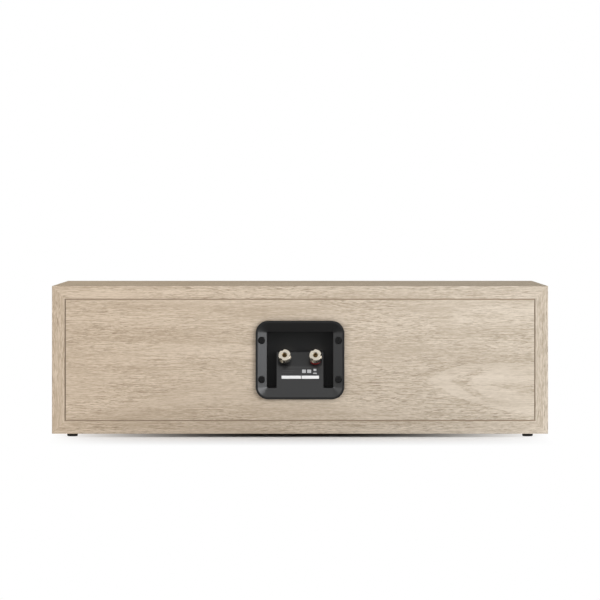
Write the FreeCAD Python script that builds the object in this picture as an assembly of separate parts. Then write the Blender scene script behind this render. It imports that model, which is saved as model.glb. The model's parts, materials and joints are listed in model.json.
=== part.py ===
"""A sealed two-way centre loudspeaker in an oak cabinet, one STEP file for each piece.

Units are millimetres. X runs along the cabinet, Y from the front to the rear and Z upwards.
The origin is on the floor, under the middle of the whole object.
"""
import FreeCAD
import Part
import math
import os

Vector = FreeCAD.Vector

# Cabinet
CABINET_WIDTH = 450.0
CABINET_HEIGHT = 134.0
CABINET_DEPTH = 220.0
BOARD = 12.0
BAFFLE_THICKNESS = 15.0
BAFFLE_SETBACK = 5.0
GROOVE = 0.6

# Rubber feet
FOOT_RADIUS = 5.0
FOOT_HEIGHT = 3.2
FOOT_INSET = 17.5

# Terminal cup: a proud lip, a dish that slopes in from it, and a recess with a ramp in its middle
PLATE_WIDTH = 80.5
PLATE_HEIGHT = 71.2
PLATE_CORNER = 11.5
LIP_WIDTH = 1.9
LIP_PROUD = 3.5
SLOPE_ANGLE = 21.5
DISH_RUN = 8.15
CUP_DEPTH = 20.0
CUP_WALL = 1.8
CUP_CLEARANCE = 0.3
RAMP_WIDTH = 42.4
RAMP_TOP = 6.5
RAMP_WALL = 2.4
POCKET_WIDTH = 40.0
POCKET_DEPTH = 0.8
POCKET_LOW_EDGE = -5.8
POCKET_CORNER = 1.6
GASKET_THICKNESS = 0.4
GASKET_WIDTH = 1.6

# Terminal screws
TERMINAL_SCREW_ACROSS = 69.4
TERMINAL_SCREW_UP = 35.4
TERMINAL_HEAD_RADIUS = 3.15
TERMINAL_HEAD_HEIGHT = 1.6
TERMINAL_SHANK_RADIUS = 1.6
TERMINAL_SCREW_LENGTH = 11.0
HEAD_SEAT = 1.0
HEAD_CLEARANCE = 0.25

# Binding posts, measured along their axis from the floor of the ramp's pocket
POST_SPACING = 28.0
POST_RISE = 0.3
COLLAR_RADIUS = 5.1
COLLAR_HEIGHT = 5.2
WASHER_RADIUS = 5.8
WASHER_THICKNESS = 0.8
WASHER_CLEARANCE = 0.3
KNOB_RADIUS = 6.0
KNOB_HEIGHT = 6.5
KNOB_CHAMFER = 0.7
KNOB_FACE = 1.1
KNOB_HOLE_RADIUS = 2.4
KNOB_FIT = 0.05
FLUTES = 3
FLUTE_RADIUS = 2.4
FLUTE_CENTRE = 7.0
FLUTE_TURN = 55.0
STUD_RADIUS = 3.0
STUD_END_GAP = 0.2
STUD_TAIL = 1.6
SOCKET_RADIUS = 2.0
SOCKET_FLOOR = 0.3
NUT_ACROSS_FLATS = 10.0
NUT_HEIGHT = 3.0
TAG_WIDTH = 9.0
TAG_REACH = 13.0
TAG_THICKNESS = 0.8

# Round pieces with sloping walls are made of flat facets
FACETS = 36

# Woofers, measured from the axis outwards and from the baffle's front inwards
WOOFER_OFFSET = 140.0
FLANGE_RADIUS = 52.0
FLANGE_THICKNESS = 4.0
FLANGE_INNER_RADIUS = 45.4
FLANGE_CLEARANCE = 0.3
CUTOUT_CLEARANCE = 0.5
LEDGE_INNER_RADIUS = 41.5
LEDGE_DEPTH = 3.0
BASKET_LEGS = 4
LEG_WIDTH = 8.0
LEG_BITE = 0.5
BASKET_RIM_RADIUS = 33.0
BASKET_RIM_DEPTH = 23.0
BASKET_BACK_DEPTH = 31.0
BASKET_RIM_WIDTH = 3.0
BASKET_WALL = 1.5
CONE_RADIUS = 34.5
CONE_DEPTH = 3.6
CONE_NECK_DEPTH = 19.0
CONE_WALL = 1.0
CAP_RADIUS = 15.0
CAP_HEIGHT = 5.8
CAP_WALL = 1.0
CAP_STEPS = 3
ROLL_HEIGHT = 3.0
ROLL_STEPS = 4
SURROUND_WALL = 0.6
SURROUND_LIP = 2.0
SPIDER_WALL = 0.8
SPIDER_RADIUS = 31.2
COIL_INNER_RADIUS = 12.7
COIL_OUTER_RADIUS = 13.4
COIL_END = 38.0
POLE_GAP = 0.4
POLE_START = 32.0
POLE_THICKNESS = 4.0
MAGNET_THICKNESS = 8.0
MAGNET_INSET = 0.3
POT_RADIUS = 20.0
POT_BORE_RADIUS = 14.3
POT_FLOOR = 5.0

# Tweeter
FACEPLATE_RADIUS = 44.0
FACEPLATE_THICKNESS = 4.0
THROAT_RADIUS = 15.0
DOME_RADIUS = 13.0
DOME_HEIGHT = 5.0
DOME_WALL = 0.4
DOME_STEPS = 3
DOME_FLANGE_RADIUS = 18.0
TWEETER_COIL_INNER_RADIUS = 12.4
TWEETER_COIL_HEIGHT = 5.6
TWEETER_POT_BORE_RADIUS = 13.9
TWEETER_POT_DEPTH = 18.0
TWEETER_POT_FLOOR = 4.0
TWEETER_POLE_INSET = 1.1
TWEETER_POLE_THICKNESS = 3.0

# Crossover board and its parts, on two sticky foam pads on the cabinet's floor
XOVER_WIDTH = 90.0
XOVER_LENGTH = 70.0
XOVER_THICKNESS = 1.6
XOVER_SETBACK = 16.75
PAD_WIDTH = 8.0
PAD_HEIGHT = 6.0
INDUCTOR_SIDE = 22.0
INDUCTOR_HEIGHT = 14.0
INDUCTOR_ACROSS = 44.0
CAPACITOR_LENGTH = 18.0
CAPACITOR_DEPTH = 9.0
CAPACITOR_HEIGHT = 16.0
CAPACITOR_SPACING = 30.0
CAPACITOR_Y = 24.0
RESISTOR_LENGTH = 20.0
RESISTOR_SIDE = 7.0
RESISTOR_ACROSS = 44.0
RESISTOR_Y = -22.5

# Leads: flat twin lead to the drivers, square single wires from the posts
LEAD_WIDTH = 3.6
LEAD_THICKNESS = 1.8
WIRE_SIDE = 1.8
LEAD_BEND = 8.0
LEAD_RISE = 18.0

# Blocks of wadding against the rear panel
WADDING_WIDTH = 140.0
WADDING_DEPTH = 95.0
WADDING_HEIGHT = 85.0

# Places that follow from the sizes above
REAR_Y = (CABINET_DEPTH - LIP_PROUD) / 2
FRONT_Y = REAR_Y - CABINET_DEPTH
INSIDE_Y = REAR_Y - BOARD
BAFFLE_Y = FRONT_Y + BAFFLE_SETBACK
FLOOR_Z = FOOT_HEIGHT + BOARD
MIDDLE_Z = FOOT_HEIGHT + CABINET_HEIGHT / 2
HALF_WIDTH = CABINET_WIDTH / 2
HALF_HEIGHT = CABINET_HEIGHT / 2
INNER_HALF_WIDTH = HALF_WIDTH - BOARD
INNER_HALF_HEIGHT = HALF_HEIGHT - BOARD
SLOPE = math.tan(math.radians(SLOPE_ANGLE))
DISH_HALF_WIDTH = PLATE_WIDTH / 2 - LIP_WIDTH
DISH_HALF_HEIGHT = PLATE_HEIGHT / 2 - LIP_WIDTH
DISH_CORNER = PLATE_CORNER - LIP_WIDTH
RECESS_HALF_WIDTH = DISH_HALF_WIDTH - DISH_RUN
RECESS_HALF_HEIGHT = DISH_HALF_HEIGHT - DISH_RUN
RECESS_CORNER = DISH_CORNER - DISH_RUN
BODY_HALF_WIDTH = RECESS_HALF_WIDTH + CUP_WALL
BODY_HALF_HEIGHT = RECESS_HALF_HEIGHT + CUP_WALL
BODY_CORNER = RECESS_CORNER + CUP_WALL
KNOB_START = COLLAR_HEIGHT + WASHER_THICKNESS
KNOB_END = KNOB_START + KNOB_HEIGHT
STUD_END = KNOB_END - KNOB_FACE - STUD_END_GAP
POST_WALL = RAMP_WALL - POCKET_DEPTH
TAG_START = -POST_WALL - TAG_THICKNESS
NUT_START = TAG_START - NUT_HEIGHT
STUD_START = NUT_START - STUD_TAIL
POLE_RADIUS = COIL_INNER_RADIUS - POLE_GAP
POT_FLOOR_DEPTH = POLE_START + POLE_THICKNESS + MAGNET_THICKNESS
POT_BACK_DEPTH = POT_FLOOR_DEPTH + POT_FLOOR
TWEETER_COIL_START = FACEPLATE_THICKNESS + DOME_WALL
TWEETER_POLE_START = TWEETER_COIL_START + TWEETER_POLE_INSET
TWEETER_POLE_END = TWEETER_POLE_START + TWEETER_POLE_THICKNESS
TWEETER_POLE_RADIUS = TWEETER_COIL_INNER_RADIUS - POLE_GAP
TWEETER_BACK_DEPTH = TWEETER_POT_DEPTH + TWEETER_POT_FLOOR
XOVER_MIDDLE_Y = BAFFLE_Y + BAFFLE_THICKNESS + XOVER_SETBACK + XOVER_LENGTH / 2
XOVER_TOP_Z = FLOOR_Z + PAD_HEIGHT + XOVER_THICKNESS
LEAD_Z = XOVER_TOP_Z + LEAD_THICKNESS / 2


def slab(x0, x1, y0, y1, z0, z1):
    """A box between two limits on each axis."""
    return Part.makeBox(x1 - x0, y1 - y0, z1 - z0, Vector(x0, y0, z0))


def disc(radius, y0, y1, x, z):
    """A cylinder with its axis along Y."""
    return Part.makeCylinder(radius, y1 - y0, Vector(x, y0, z), Vector(0, 1, 0))


def tube(outer, inner, start, end):
    """A ring in a post's own frame, with its axis on Z."""
    ring = Part.makeCylinder(outer, end - start, Vector(0, 0, start))
    return ring.cut(Part.makeCylinder(inner, end - start, Vector(0, 0, start)))


def prism(points, travel):
    """A closed polygon of points, drawn out along a vector."""
    return Part.Face(Part.makePolygon(points + points[:1])).extrude(travel)


def turned(profile, x):
    """A profile of (radius, depth behind the baffle's front), turned about a driver's axis."""
    points = [Vector(x + radius, BAFFLE_Y + depth, MIDDLE_Z) for radius, depth in profile]
    face = Part.Face(Part.makePolygon(points + points[:1]))
    return face.revolve(Vector(x, 0, MIDDLE_Z), Vector(0, 1, 0), 360)


def faceted(profile, x):
    """The same as turned, in flat facets; the profile runs against the clock, radius right and depth up."""
    rings = []
    for index in range(FACETS):
        angle = 2 * math.pi * index / FACETS
        outward = Vector(math.cos(angle), 0, math.sin(angle))
        rings.append([Vector(x, BAFFLE_Y + depth, MIDDLE_Z) + outward * radius for radius, depth in profile])
    faces = []
    for ring, following in zip(rings, rings[1:] + rings[:1]):
        for near in range(len(profile)):
            corners = [ring[near], ring[near - 1], following[near - 1], following[near]]
            outline = []
            for corner in corners:
                if all(corner.distanceToPoint(other) > Part.Precision.confusion() for other in outline):
                    outline.append(corner)
            if len(outline) > 2:
                faces.append(Part.Face(Part.makePolygon(outline + outline[:1])))
    return Part.Solid(Part.Shell(faces))


def rounded_outline(half_width, half_height, corner, y):
    """A rectangle with round corners, about the terminal's centre, in one plane of Y."""
    arcs = []
    for quarter, (side_x, side_z) in enumerate(((1, 1), (-1, 1), (-1, -1), (1, -1))):
        centre_x = side_x * (half_width - corner)
        centre_z = MIDDLE_Z + side_z * (half_height - corner)
        arcs.append([])
        for eighth in range(3):
            angle = math.radians(90 * quarter + 45 * eighth)
            x = centre_x + corner * math.cos(angle)
            z = centre_z + corner * math.sin(angle)
            arcs[-1].append(Vector(x, y, z))
    edges = []
    for arc, following in zip(arcs, arcs[1:] + arcs[:1]):
        edges.append(Part.Arc(*arc).toShape())
        edges.append(Part.makeLine(arc[-1], following[0]))
    return Part.Wire(edges)


def rounded_slab(half_width, half_height, corner, y0, y1):
    """A plate with round corners, about the terminal's centre."""
    face = Part.Face(rounded_outline(half_width, half_height, corner, y0))
    return face.extrude(Vector(0, y1 - y0, 0))


def frustum(half_width0, half_height0, y0, half_width1, half_height1, y1):
    """A four-sided block that changes size evenly between two planes of Y."""
    outlines = []
    for half_width, half_height, y in ((half_width0, half_height0, y0), (half_width1, half_height1, y1)):
        corners = []
        for side_x, side_z in ((1, 1), (-1, 1), (-1, -1), (1, -1), (1, 1)):
            corners.append(Vector(side_x * half_width, y, MIDDLE_Z + side_z * half_height))
        outlines.append(Part.makePolygon(corners))
    return Part.makeLoft(outlines, True, True)


def ramp_proud(height):
    """How far the ramp stands out from the rear panel at a height above the terminal's centre."""
    return LIP_PROUD - (height + DISH_HALF_HEIGHT) * SLOPE


def on_ramp(shape, side):
    """Move a shape from a post's own frame to its post, left or right."""
    turn = FreeCAD.Rotation(Vector(1, 0, 0), SLOPE_ANGLE - 90)
    surface = Vector(side * POST_SPACING / 2, REAR_Y + ramp_proud(POST_RISE), MIDDLE_Z + POST_RISE)
    floor = surface - turn.multVec(Vector(0, 0, POCKET_DEPTH))
    shape.Placement = FreeCAD.Placement(floor, turn)
    return shape


def terminal_screw_places():
    """The four corners of the terminal's screw pattern."""
    places = []
    for side_x in (-1, 1):
        for side_z in (-1, 1):
            x = side_x * TERMINAL_SCREW_ACROSS / 2
            places.append((x, MIDDLE_Z + side_z * TERMINAL_SCREW_UP / 2))
    return places


def make_cabinet_boards():
    """Four boards mitred at the corners, with half of the V-groove on their inner rear edges."""
    x, z0, z1 = HALF_WIDTH, FOOT_HEIGHT, FOOT_HEIGHT + CABINET_HEIGHT
    sleeve = slab(-x, x, FRONT_Y, REAR_Y, z0, z1)
    sleeve = sleeve.cut(frustum(INNER_HALF_WIDTH, INNER_HALF_HEIGHT, FRONT_Y,
                                INNER_HALF_WIDTH, INNER_HALF_HEIGHT, REAR_Y))
    sleeve = sleeve.cut(frustum(INNER_HALF_WIDTH, INNER_HALF_HEIGHT, REAR_Y - GROOVE,
                                INNER_HALF_WIDTH + GROOVE, INNER_HALF_HEIGHT + GROOVE, REAR_Y))
    reach = x - HALF_HEIGHT
    corners = {
        "top_panel": ((-x, z1), (x, z1), (reach, MIDDLE_Z), (-reach, MIDDLE_Z)),
        "bottom_panel": ((-x, z0), (x, z0), (reach, MIDDLE_Z), (-reach, MIDDLE_Z)),
        "left_panel": ((-x, z0), (-x, z1), (-reach, MIDDLE_Z)),
        "right_panel": ((x, z0), (x, z1), (reach, MIDDLE_Z)),
    }
    boards = {}
    for name, outline in corners.items():
        wedge = prism([Vector(px, FRONT_Y, pz) for px, pz in outline], Vector(0, CABINET_DEPTH, 0))
        boards[name] = sleeve.common(wedge).Solids[0]
    return boards


def make_rear_panel():
    """Inset rear board: bevelled rim, the terminal's cut-out and its four pilot holes."""
    panel = slab(-INNER_HALF_WIDTH, INNER_HALF_WIDTH, INSIDE_Y, REAR_Y - GROOVE,
                 MIDDLE_Z - INNER_HALF_HEIGHT, MIDDLE_Z + INNER_HALF_HEIGHT)
    bevel = frustum(INNER_HALF_WIDTH, INNER_HALF_HEIGHT, REAR_Y - GROOVE,
                    INNER_HALF_WIDTH - GROOVE, INNER_HALF_HEIGHT - GROOVE, REAR_Y)
    panel = panel.fuse(bevel).removeSplitter()
    panel = panel.cut(rounded_slab(BODY_HALF_WIDTH + CUP_CLEARANCE, BODY_HALF_HEIGHT + CUP_CLEARANCE,
                                   BODY_CORNER + CUP_CLEARANCE, INSIDE_Y, REAR_Y))
    pilot_end = REAR_Y + HEAD_SEAT - TERMINAL_SCREW_LENGTH
    for x, z in terminal_screw_places():
        panel = panel.cut(disc(TERMINAL_SHANK_RADIUS, pilot_end, REAR_Y, x, z))
    return panel


def make_front_baffle():
    """Board behind the cabinet's front edge, rebated and cut out for the three drivers."""
    baffle = slab(-INNER_HALF_WIDTH, INNER_HALF_WIDTH, BAFFLE_Y, BAFFLE_Y + BAFFLE_THICKNESS,
                  MIDDLE_Z - INNER_HALF_HEIGHT, MIDDLE_Z + INNER_HALF_HEIGHT)
    woofer = (FLANGE_RADIUS, FLANGE_THICKNESS, FLANGE_INNER_RADIUS)
    tweeter = (FACEPLATE_RADIUS, FACEPLATE_THICKNESS, DOME_FLANGE_RADIUS)
    for x, (rim, rebate, body) in ((-WOOFER_OFFSET, woofer), (WOOFER_OFFSET, woofer), (0, tweeter)):
        baffle = baffle.cut(disc(rim + FLANGE_CLEARANCE, BAFFLE_Y, BAFFLE_Y + rebate, x, MIDDLE_Z))
        baffle = baffle.cut(disc(body + CUTOUT_CLEARANCE, BAFFLE_Y, BAFFLE_Y + BAFFLE_THICKNESS, x, MIDDLE_Z))
    return baffle


def make_feet():
    """Four round rubber feet under the corners."""
    feet = []
    for x in (FOOT_INSET - HALF_WIDTH, HALF_WIDTH - FOOT_INSET):
        for y in (FRONT_Y + FOOT_INSET, REAR_Y - FOOT_INSET):
            feet.append(Part.makeCylinder(FOOT_RADIUS, FOOT_HEIGHT, Vector(x, y, 0)))
    return Part.makeCompound(feet)


def make_ramp_block(half_width, drop, back, high):
    """The block under the ramp's slope, or the hollow behind it when it is set lower."""
    low = -RECESS_HALF_HEIGHT
    profile = [(low, ramp_proud(low) - drop), (high, ramp_proud(high) - drop), (high, back), (low, back)]
    points = [Vector(-half_width, REAR_Y + proud, MIDDLE_Z + height) for height, proud in profile]
    return prism(points, Vector(2 * half_width, 0, 0))


def make_recess():
    """The hollow of the cup round the ramp, with round corners at the foot of both slots."""
    start = REAR_Y - CUP_DEPTH
    end = REAR_Y + LIP_PROUD - DISH_RUN * SLOPE
    low = MIDDLE_Z - RECESS_HALF_HEIGHT
    recess = rounded_slab(RECESS_HALF_WIDTH, RECESS_HALF_HEIGHT, RECESS_CORNER, start, end)
    recess = recess.cut(make_ramp_block(RAMP_WIDTH / 2, 0, -CUP_DEPTH - CUP_WALL, RAMP_TOP))
    for side in (-1, 1):
        edges = sorted((side * RAMP_WIDTH / 2, side * (RAMP_WIDTH / 2 + RECESS_CORNER)))
        corner = slab(edges[0], edges[1], start, end, low, low + RECESS_CORNER)
        turn = side * (RAMP_WIDTH / 2 + RECESS_CORNER)
        recess = recess.cut(corner.cut(disc(RECESS_CORNER, start, end, turn, low + RECESS_CORNER)))
    return recess


def make_ramp_pocket():
    """The shallow pocket that the posts stand in, open at the ramp's top edge."""
    half = POCKET_WIDTH / 2
    inset = half - POCKET_CORNER
    height = 2 * POCKET_DEPTH
    bottom = -POCKET_DEPTH
    corner = -POCKET_CORNER
    block = Part.makeBox(POCKET_WIDTH, CUP_DEPTH, height, Vector(-half, corner - CUP_DEPTH, bottom))
    block = block.fuse(Part.makeBox(2 * inset, POCKET_CORNER, height, Vector(-inset, corner, bottom)))
    for x in (-inset, inset):
        block = block.fuse(Part.makeCylinder(POCKET_CORNER, height, Vector(x, corner, bottom)))
    block = block.removeSplitter()
    place = Vector(0, REAR_Y + ramp_proud(POCKET_LOW_EDGE), MIDDLE_Z + POCKET_LOW_EDGE)
    block.Placement = FreeCAD.Placement(place, FreeCAD.Rotation(Vector(1, 0, 0), SLOPE_ANGLE - 90))
    return block


def make_terminal_cup():
    """One moulding: lip, sloping dish, deep recess and the hollow ramp that carries the posts."""
    back = -CUP_DEPTH - CUP_WALL
    dish_floor = LIP_PROUD - DISH_RUN * SLOPE
    cup = rounded_slab(PLATE_WIDTH / 2, PLATE_HEIGHT / 2, PLATE_CORNER, REAR_Y, REAR_Y + LIP_PROUD)
    cup = cup.fuse(rounded_slab(BODY_HALF_WIDTH, BODY_HALF_HEIGHT, BODY_CORNER, REAR_Y + back, REAR_Y))
    rim = rounded_outline(DISH_HALF_WIDTH, DISH_HALF_HEIGHT, DISH_CORNER, REAR_Y + LIP_PROUD)
    mouth = rounded_outline(RECESS_HALF_WIDTH, RECESS_HALF_HEIGHT, RECESS_CORNER, REAR_Y + dish_floor)
    cup = cup.cut(Part.makeLoft([rim, mouth], True, True))
    cup = cup.cut(make_recess())
    cup = cup.cut(make_ramp_block(RAMP_WIDTH / 2 - CUP_WALL, RAMP_WALL / math.cos(math.radians(SLOPE_ANGLE)),
                                  back, RAMP_TOP - CUP_WALL))
    cup = cup.cut(make_ramp_pocket())
    cup = cup.cut(make_terminal_gasket())
    for x, z in terminal_screw_places():
        front = REAR_Y + LIP_PROUD
        cup = cup.cut(disc(TERMINAL_SHANK_RADIUS + HEAD_CLEARANCE, REAR_Y, front, x, z))
        cup = cup.cut(disc(TERMINAL_HEAD_RADIUS + HEAD_CLEARANCE, REAR_Y + HEAD_SEAT, front, x, z))
    for side in (-1, 1):
        hole = Part.makeCylinder(STUD_RADIUS, RAMP_WALL + POCKET_DEPTH, Vector(0, 0, -RAMP_WALL))
        cup = cup.cut(on_ramp(hole, side))
    return cup.removeSplitter()


def make_terminal_gasket():
    """Foam ring in a groove under the cup's flange, outside its screws."""
    ring = rounded_slab(DISH_HALF_WIDTH, DISH_HALF_HEIGHT, DISH_CORNER, REAR_Y, REAR_Y + GASKET_THICKNESS)
    return ring.cut(rounded_slab(DISH_HALF_WIDTH - GASKET_WIDTH, DISH_HALF_HEIGHT - GASKET_WIDTH,
                                 DISH_CORNER - GASKET_WIDTH, REAR_Y, REAR_Y + GASKET_THICKNESS))


def make_terminal_screws():
    """Four cheese-head screws through the flange into the rear panel."""
    screws = []
    seat = REAR_Y + HEAD_SEAT
    for x, z in terminal_screw_places():
        head = disc(TERMINAL_HEAD_RADIUS, seat, seat + TERMINAL_HEAD_HEIGHT, x, z)
        screws.append(head.fuse(disc(TERMINAL_SHANK_RADIUS, seat - TERMINAL_SCREW_LENGTH, seat, x, z)))
    return Part.makeCompound(screws)


def make_stud():
    """Threaded brass stud with the plug socket down its middle."""
    stud = Part.makeCylinder(STUD_RADIUS, STUD_END - STUD_START, Vector(0, 0, STUD_START))
    return stud.cut(Part.makeCylinder(SOCKET_RADIUS, STUD_END - SOCKET_FLOOR, Vector(0, 0, SOCKET_FLOOR)))


def make_knob():
    """Fluted clamping nut with a chamfered face and a plug hole."""
    side = [(0, KNOB_START), (KNOB_RADIUS, KNOB_START), (KNOB_RADIUS, KNOB_END - KNOB_CHAMFER),
            (KNOB_RADIUS - KNOB_CHAMFER, KNOB_END), (0, KNOB_END)]
    points = [Vector(radius, 0, height) for radius, height in side]
    face = Part.Face(Part.makePolygon(points + points[:1]))
    knob = face.revolve(Vector(0, 0, 0), Vector(0, 0, 1), 360)
    for index in range(FLUTES):
        angle = math.radians(FLUTE_TURN + 360 * index / FLUTES)
        outward = Vector(math.cos(angle), math.sin(angle), 0)
        foot = Vector(0, 0, KNOB_START) + outward * FLUTE_CENTRE
        knob = knob.cut(Part.makeCylinder(FLUTE_RADIUS, KNOB_HEIGHT, foot))
    bore = Part.makeCylinder(STUD_RADIUS + KNOB_FIT, KNOB_HEIGHT - KNOB_FACE, Vector(0, 0, KNOB_START))
    return knob.cut(bore).cut(Part.makeCylinder(KNOB_HOLE_RADIUS, KNOB_HEIGHT, Vector(0, 0, KNOB_START)))


def make_nut():
    """Hexagon nut that holds a stud from behind, flats towards the ramp's side walls."""
    corner = NUT_ACROSS_FLATS / math.sqrt(3)
    points = []
    for index in range(6):
        angle = math.radians(30 + 60 * index)
        points.append(Vector(corner * math.cos(angle), corner * math.sin(angle), NUT_START))
    nut = prism(points, Vector(0, 0, NUT_HEIGHT))
    return nut.cut(Part.makeCylinder(STUD_RADIUS, NUT_HEIGHT, Vector(0, 0, NUT_START)))


def make_solder_tag():
    """Flat tag under the nut, with its tongue towards the ramp's foot."""
    half = TAG_WIDTH / 2
    tag = Part.makeBox(TAG_WIDTH, half + TAG_REACH, TAG_THICKNESS, Vector(-half, -half, TAG_START))
    return tag.cut(Part.makeCylinder(STUD_RADIUS, TAG_THICKNESS, Vector(0, 0, TAG_START)))


def make_binding_posts():
    """Both posts, piece by piece; the positive one is on the side of minus X."""
    pieces = {}
    for name, side in (("positive", -1), ("negative", 1)):
        washer_hole = STUD_RADIUS + WASHER_CLEARANCE
        pieces[name + "_stud"] = on_ramp(make_stud(), side)
        pieces[name + "_collar"] = on_ramp(tube(COLLAR_RADIUS, STUD_RADIUS, 0, COLLAR_HEIGHT), side)
        pieces[name + "_washer"] = on_ramp(tube(WASHER_RADIUS, washer_hole, COLLAR_HEIGHT, KNOB_START), side)
        pieces[name + "_knob"] = on_ramp(make_knob(), side)
    pieces["terminal_nuts"] = Part.makeCompound([on_ramp(make_nut(), side) for side in (-1, 1)])
    pieces["solder_tags"] = Part.makeCompound([on_ramp(make_solder_tag(), side) for side in (-1, 1)])
    return pieces


def make_basket(x):
    """Cast chassis: flange with a ledge, four legs and a shallow dish that seats the motor."""
    basket = turned([(FLANGE_RADIUS, 0), (FLANGE_RADIUS, FLANGE_THICKNESS),
                     (LEDGE_INNER_RADIUS, FLANGE_THICKNESS), (LEDGE_INNER_RADIUS, LEDGE_DEPTH),
                     (FLANGE_INNER_RADIUS, LEDGE_DEPTH), (FLANGE_INNER_RADIUS, 0)], x)
    dish_floor = BASKET_BACK_DEPTH - BASKET_WALL
    dish_inner = BASKET_RIM_RADIUS - BASKET_RIM_WIDTH
    dish = turned([(BASKET_RIM_RADIUS, BASKET_RIM_DEPTH), (BASKET_RIM_RADIUS, BASKET_BACK_DEPTH),
                   (POT_BORE_RADIUS, BASKET_BACK_DEPTH), (POT_BORE_RADIUS, dish_floor),
                   (dish_inner, dish_floor), (dish_inner, BASKET_RIM_DEPTH)], x)
    basket = basket.fuse(dish)
    leg_outer = FLANGE_INNER_RADIUS - LEG_BITE
    leg_start = FLANGE_THICKNESS - LEG_BITE
    leg_inner = BASKET_RIM_RADIUS - BASKET_WALL
    leg_side = [(leg_outer, leg_start), (leg_outer, FLANGE_THICKNESS + BASKET_WALL),
                (BASKET_RIM_RADIUS, BASKET_BACK_DEPTH), (leg_inner, BASKET_BACK_DEPTH),
                (leg_inner, BASKET_RIM_DEPTH), (LEDGE_INNER_RADIUS, leg_start)]
    points = [Vector(x + radius, BAFFLE_Y + depth, MIDDLE_Z - LEG_WIDTH / 2) for radius, depth in leg_side]
    leg = prism(points, Vector(0, 0, LEG_WIDTH))
    for index in range(BASKET_LEGS):
        turned_leg = leg.copy()
        turned_leg.rotate(Vector(x, 0, MIDDLE_Z), Vector(0, 1, 0), 360 * index / BASKET_LEGS)
        basket = basket.fuse(turned_leg)
    return basket.removeSplitter()


def cone_depth(radius):
    """Depth of the cone's front face at a radius."""
    share = (CONE_RADIUS - radius) / (CONE_RADIUS - COIL_OUTER_RADIUS)
    return CONE_DEPTH + share * (CONE_NECK_DEPTH - CONE_DEPTH)


def make_cone(x):
    """Straight-sided paper cone, glued to the coil at its neck."""
    return faceted([(CONE_RADIUS, CONE_DEPTH), (CONE_RADIUS, CONE_DEPTH + CONE_WALL),
                   (COIL_OUTER_RADIUS, CONE_NECK_DEPTH + CONE_WALL), (COIL_OUTER_RADIUS, CONE_NECK_DEPTH)], x)


def crown(radius, foot, rise, steps):
    """Profile of a dome from its foot to its top, as points of (radius, depth)."""
    points = []
    for step in range(steps):
        angle = math.pi / 2 * step / steps
        points.append((radius * math.cos(angle), foot - rise * math.sin(angle)))
    return points + [(0, foot - rise)]


def make_dust_cap(x):
    """Shallow round cap over the cone's neck."""
    inner = CAP_RADIUS - CAP_WALL
    foot = cone_depth(CAP_RADIUS)
    inner_foot = cone_depth(inner)
    outside = crown(CAP_RADIUS, foot, CAP_HEIGHT, CAP_STEPS)
    inside = crown(inner, inner_foot, inner_foot - foot + CAP_HEIGHT - CAP_WALL, CAP_STEPS)
    return faceted(outside[::-1] + inside, x)


def make_voice_coil(x):
    """Wound former, free in the gap between pole and pot."""
    return faceted([(COIL_INNER_RADIUS, CONE_NECK_DEPTH), (COIL_OUTER_RADIUS, CONE_NECK_DEPTH),
                   (COIL_OUTER_RADIUS, COIL_END), (COIL_INNER_RADIUS, COIL_END)], x)


def make_surround(x):
    """Half-roll rubber edge between the cone and the basket's ledge."""
    outer_lip = FLANGE_INNER_RADIUS - SURROUND_WALL / 2
    middle = (CONE_RADIUS + LEDGE_INNER_RADIUS) / 2
    half = (LEDGE_INNER_RADIUS - CONE_RADIUS) / 2
    crest = []
    hollow = []
    for step in range(1, ROLL_STEPS):
        angle = math.pi * step / ROLL_STEPS
        depth = LEDGE_DEPTH - ROLL_HEIGHT * math.sin(angle)
        crest.append((middle - half * math.cos(angle), depth - SURROUND_WALL))
        hollow.append((middle - (half - SURROUND_WALL) * math.cos(angle), depth))
    inner_lip = CONE_RADIUS - SURROUND_LIP
    cone_front = CONE_DEPTH - SURROUND_WALL
    ledge_front = LEDGE_DEPTH - SURROUND_WALL
    front = [(inner_lip, cone_front), (CONE_RADIUS, cone_front)]
    front += crest + [(LEDGE_INNER_RADIUS, ledge_front), (outer_lip, ledge_front)]
    rear = [(outer_lip, LEDGE_DEPTH), (LEDGE_INNER_RADIUS - SURROUND_WALL, LEDGE_DEPTH)]
    rear += hollow[::-1] + [(CONE_RADIUS, CONE_DEPTH), (inner_lip, CONE_DEPTH)]
    return faceted(front + rear, x)


def make_spider(x):
    """Flat centring disc between the coil and the basket's inner rim."""
    front = BASKET_RIM_DEPTH - SPIDER_WALL
    return faceted([(COIL_OUTER_RADIUS, front), (SPIDER_RADIUS, front),
                   (SPIDER_RADIUS, BASKET_RIM_DEPTH), (COIL_OUTER_RADIUS, BASKET_RIM_DEPTH)], x)


def make_pot(x, rim, radius, bore, floor, back):
    """Steel cup that carries the magnet and closes the magnetic path round the coil."""
    return turned([(radius, rim), (radius, back), (0, back), (0, floor), (bore, floor), (bore, rim)], x)


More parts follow.
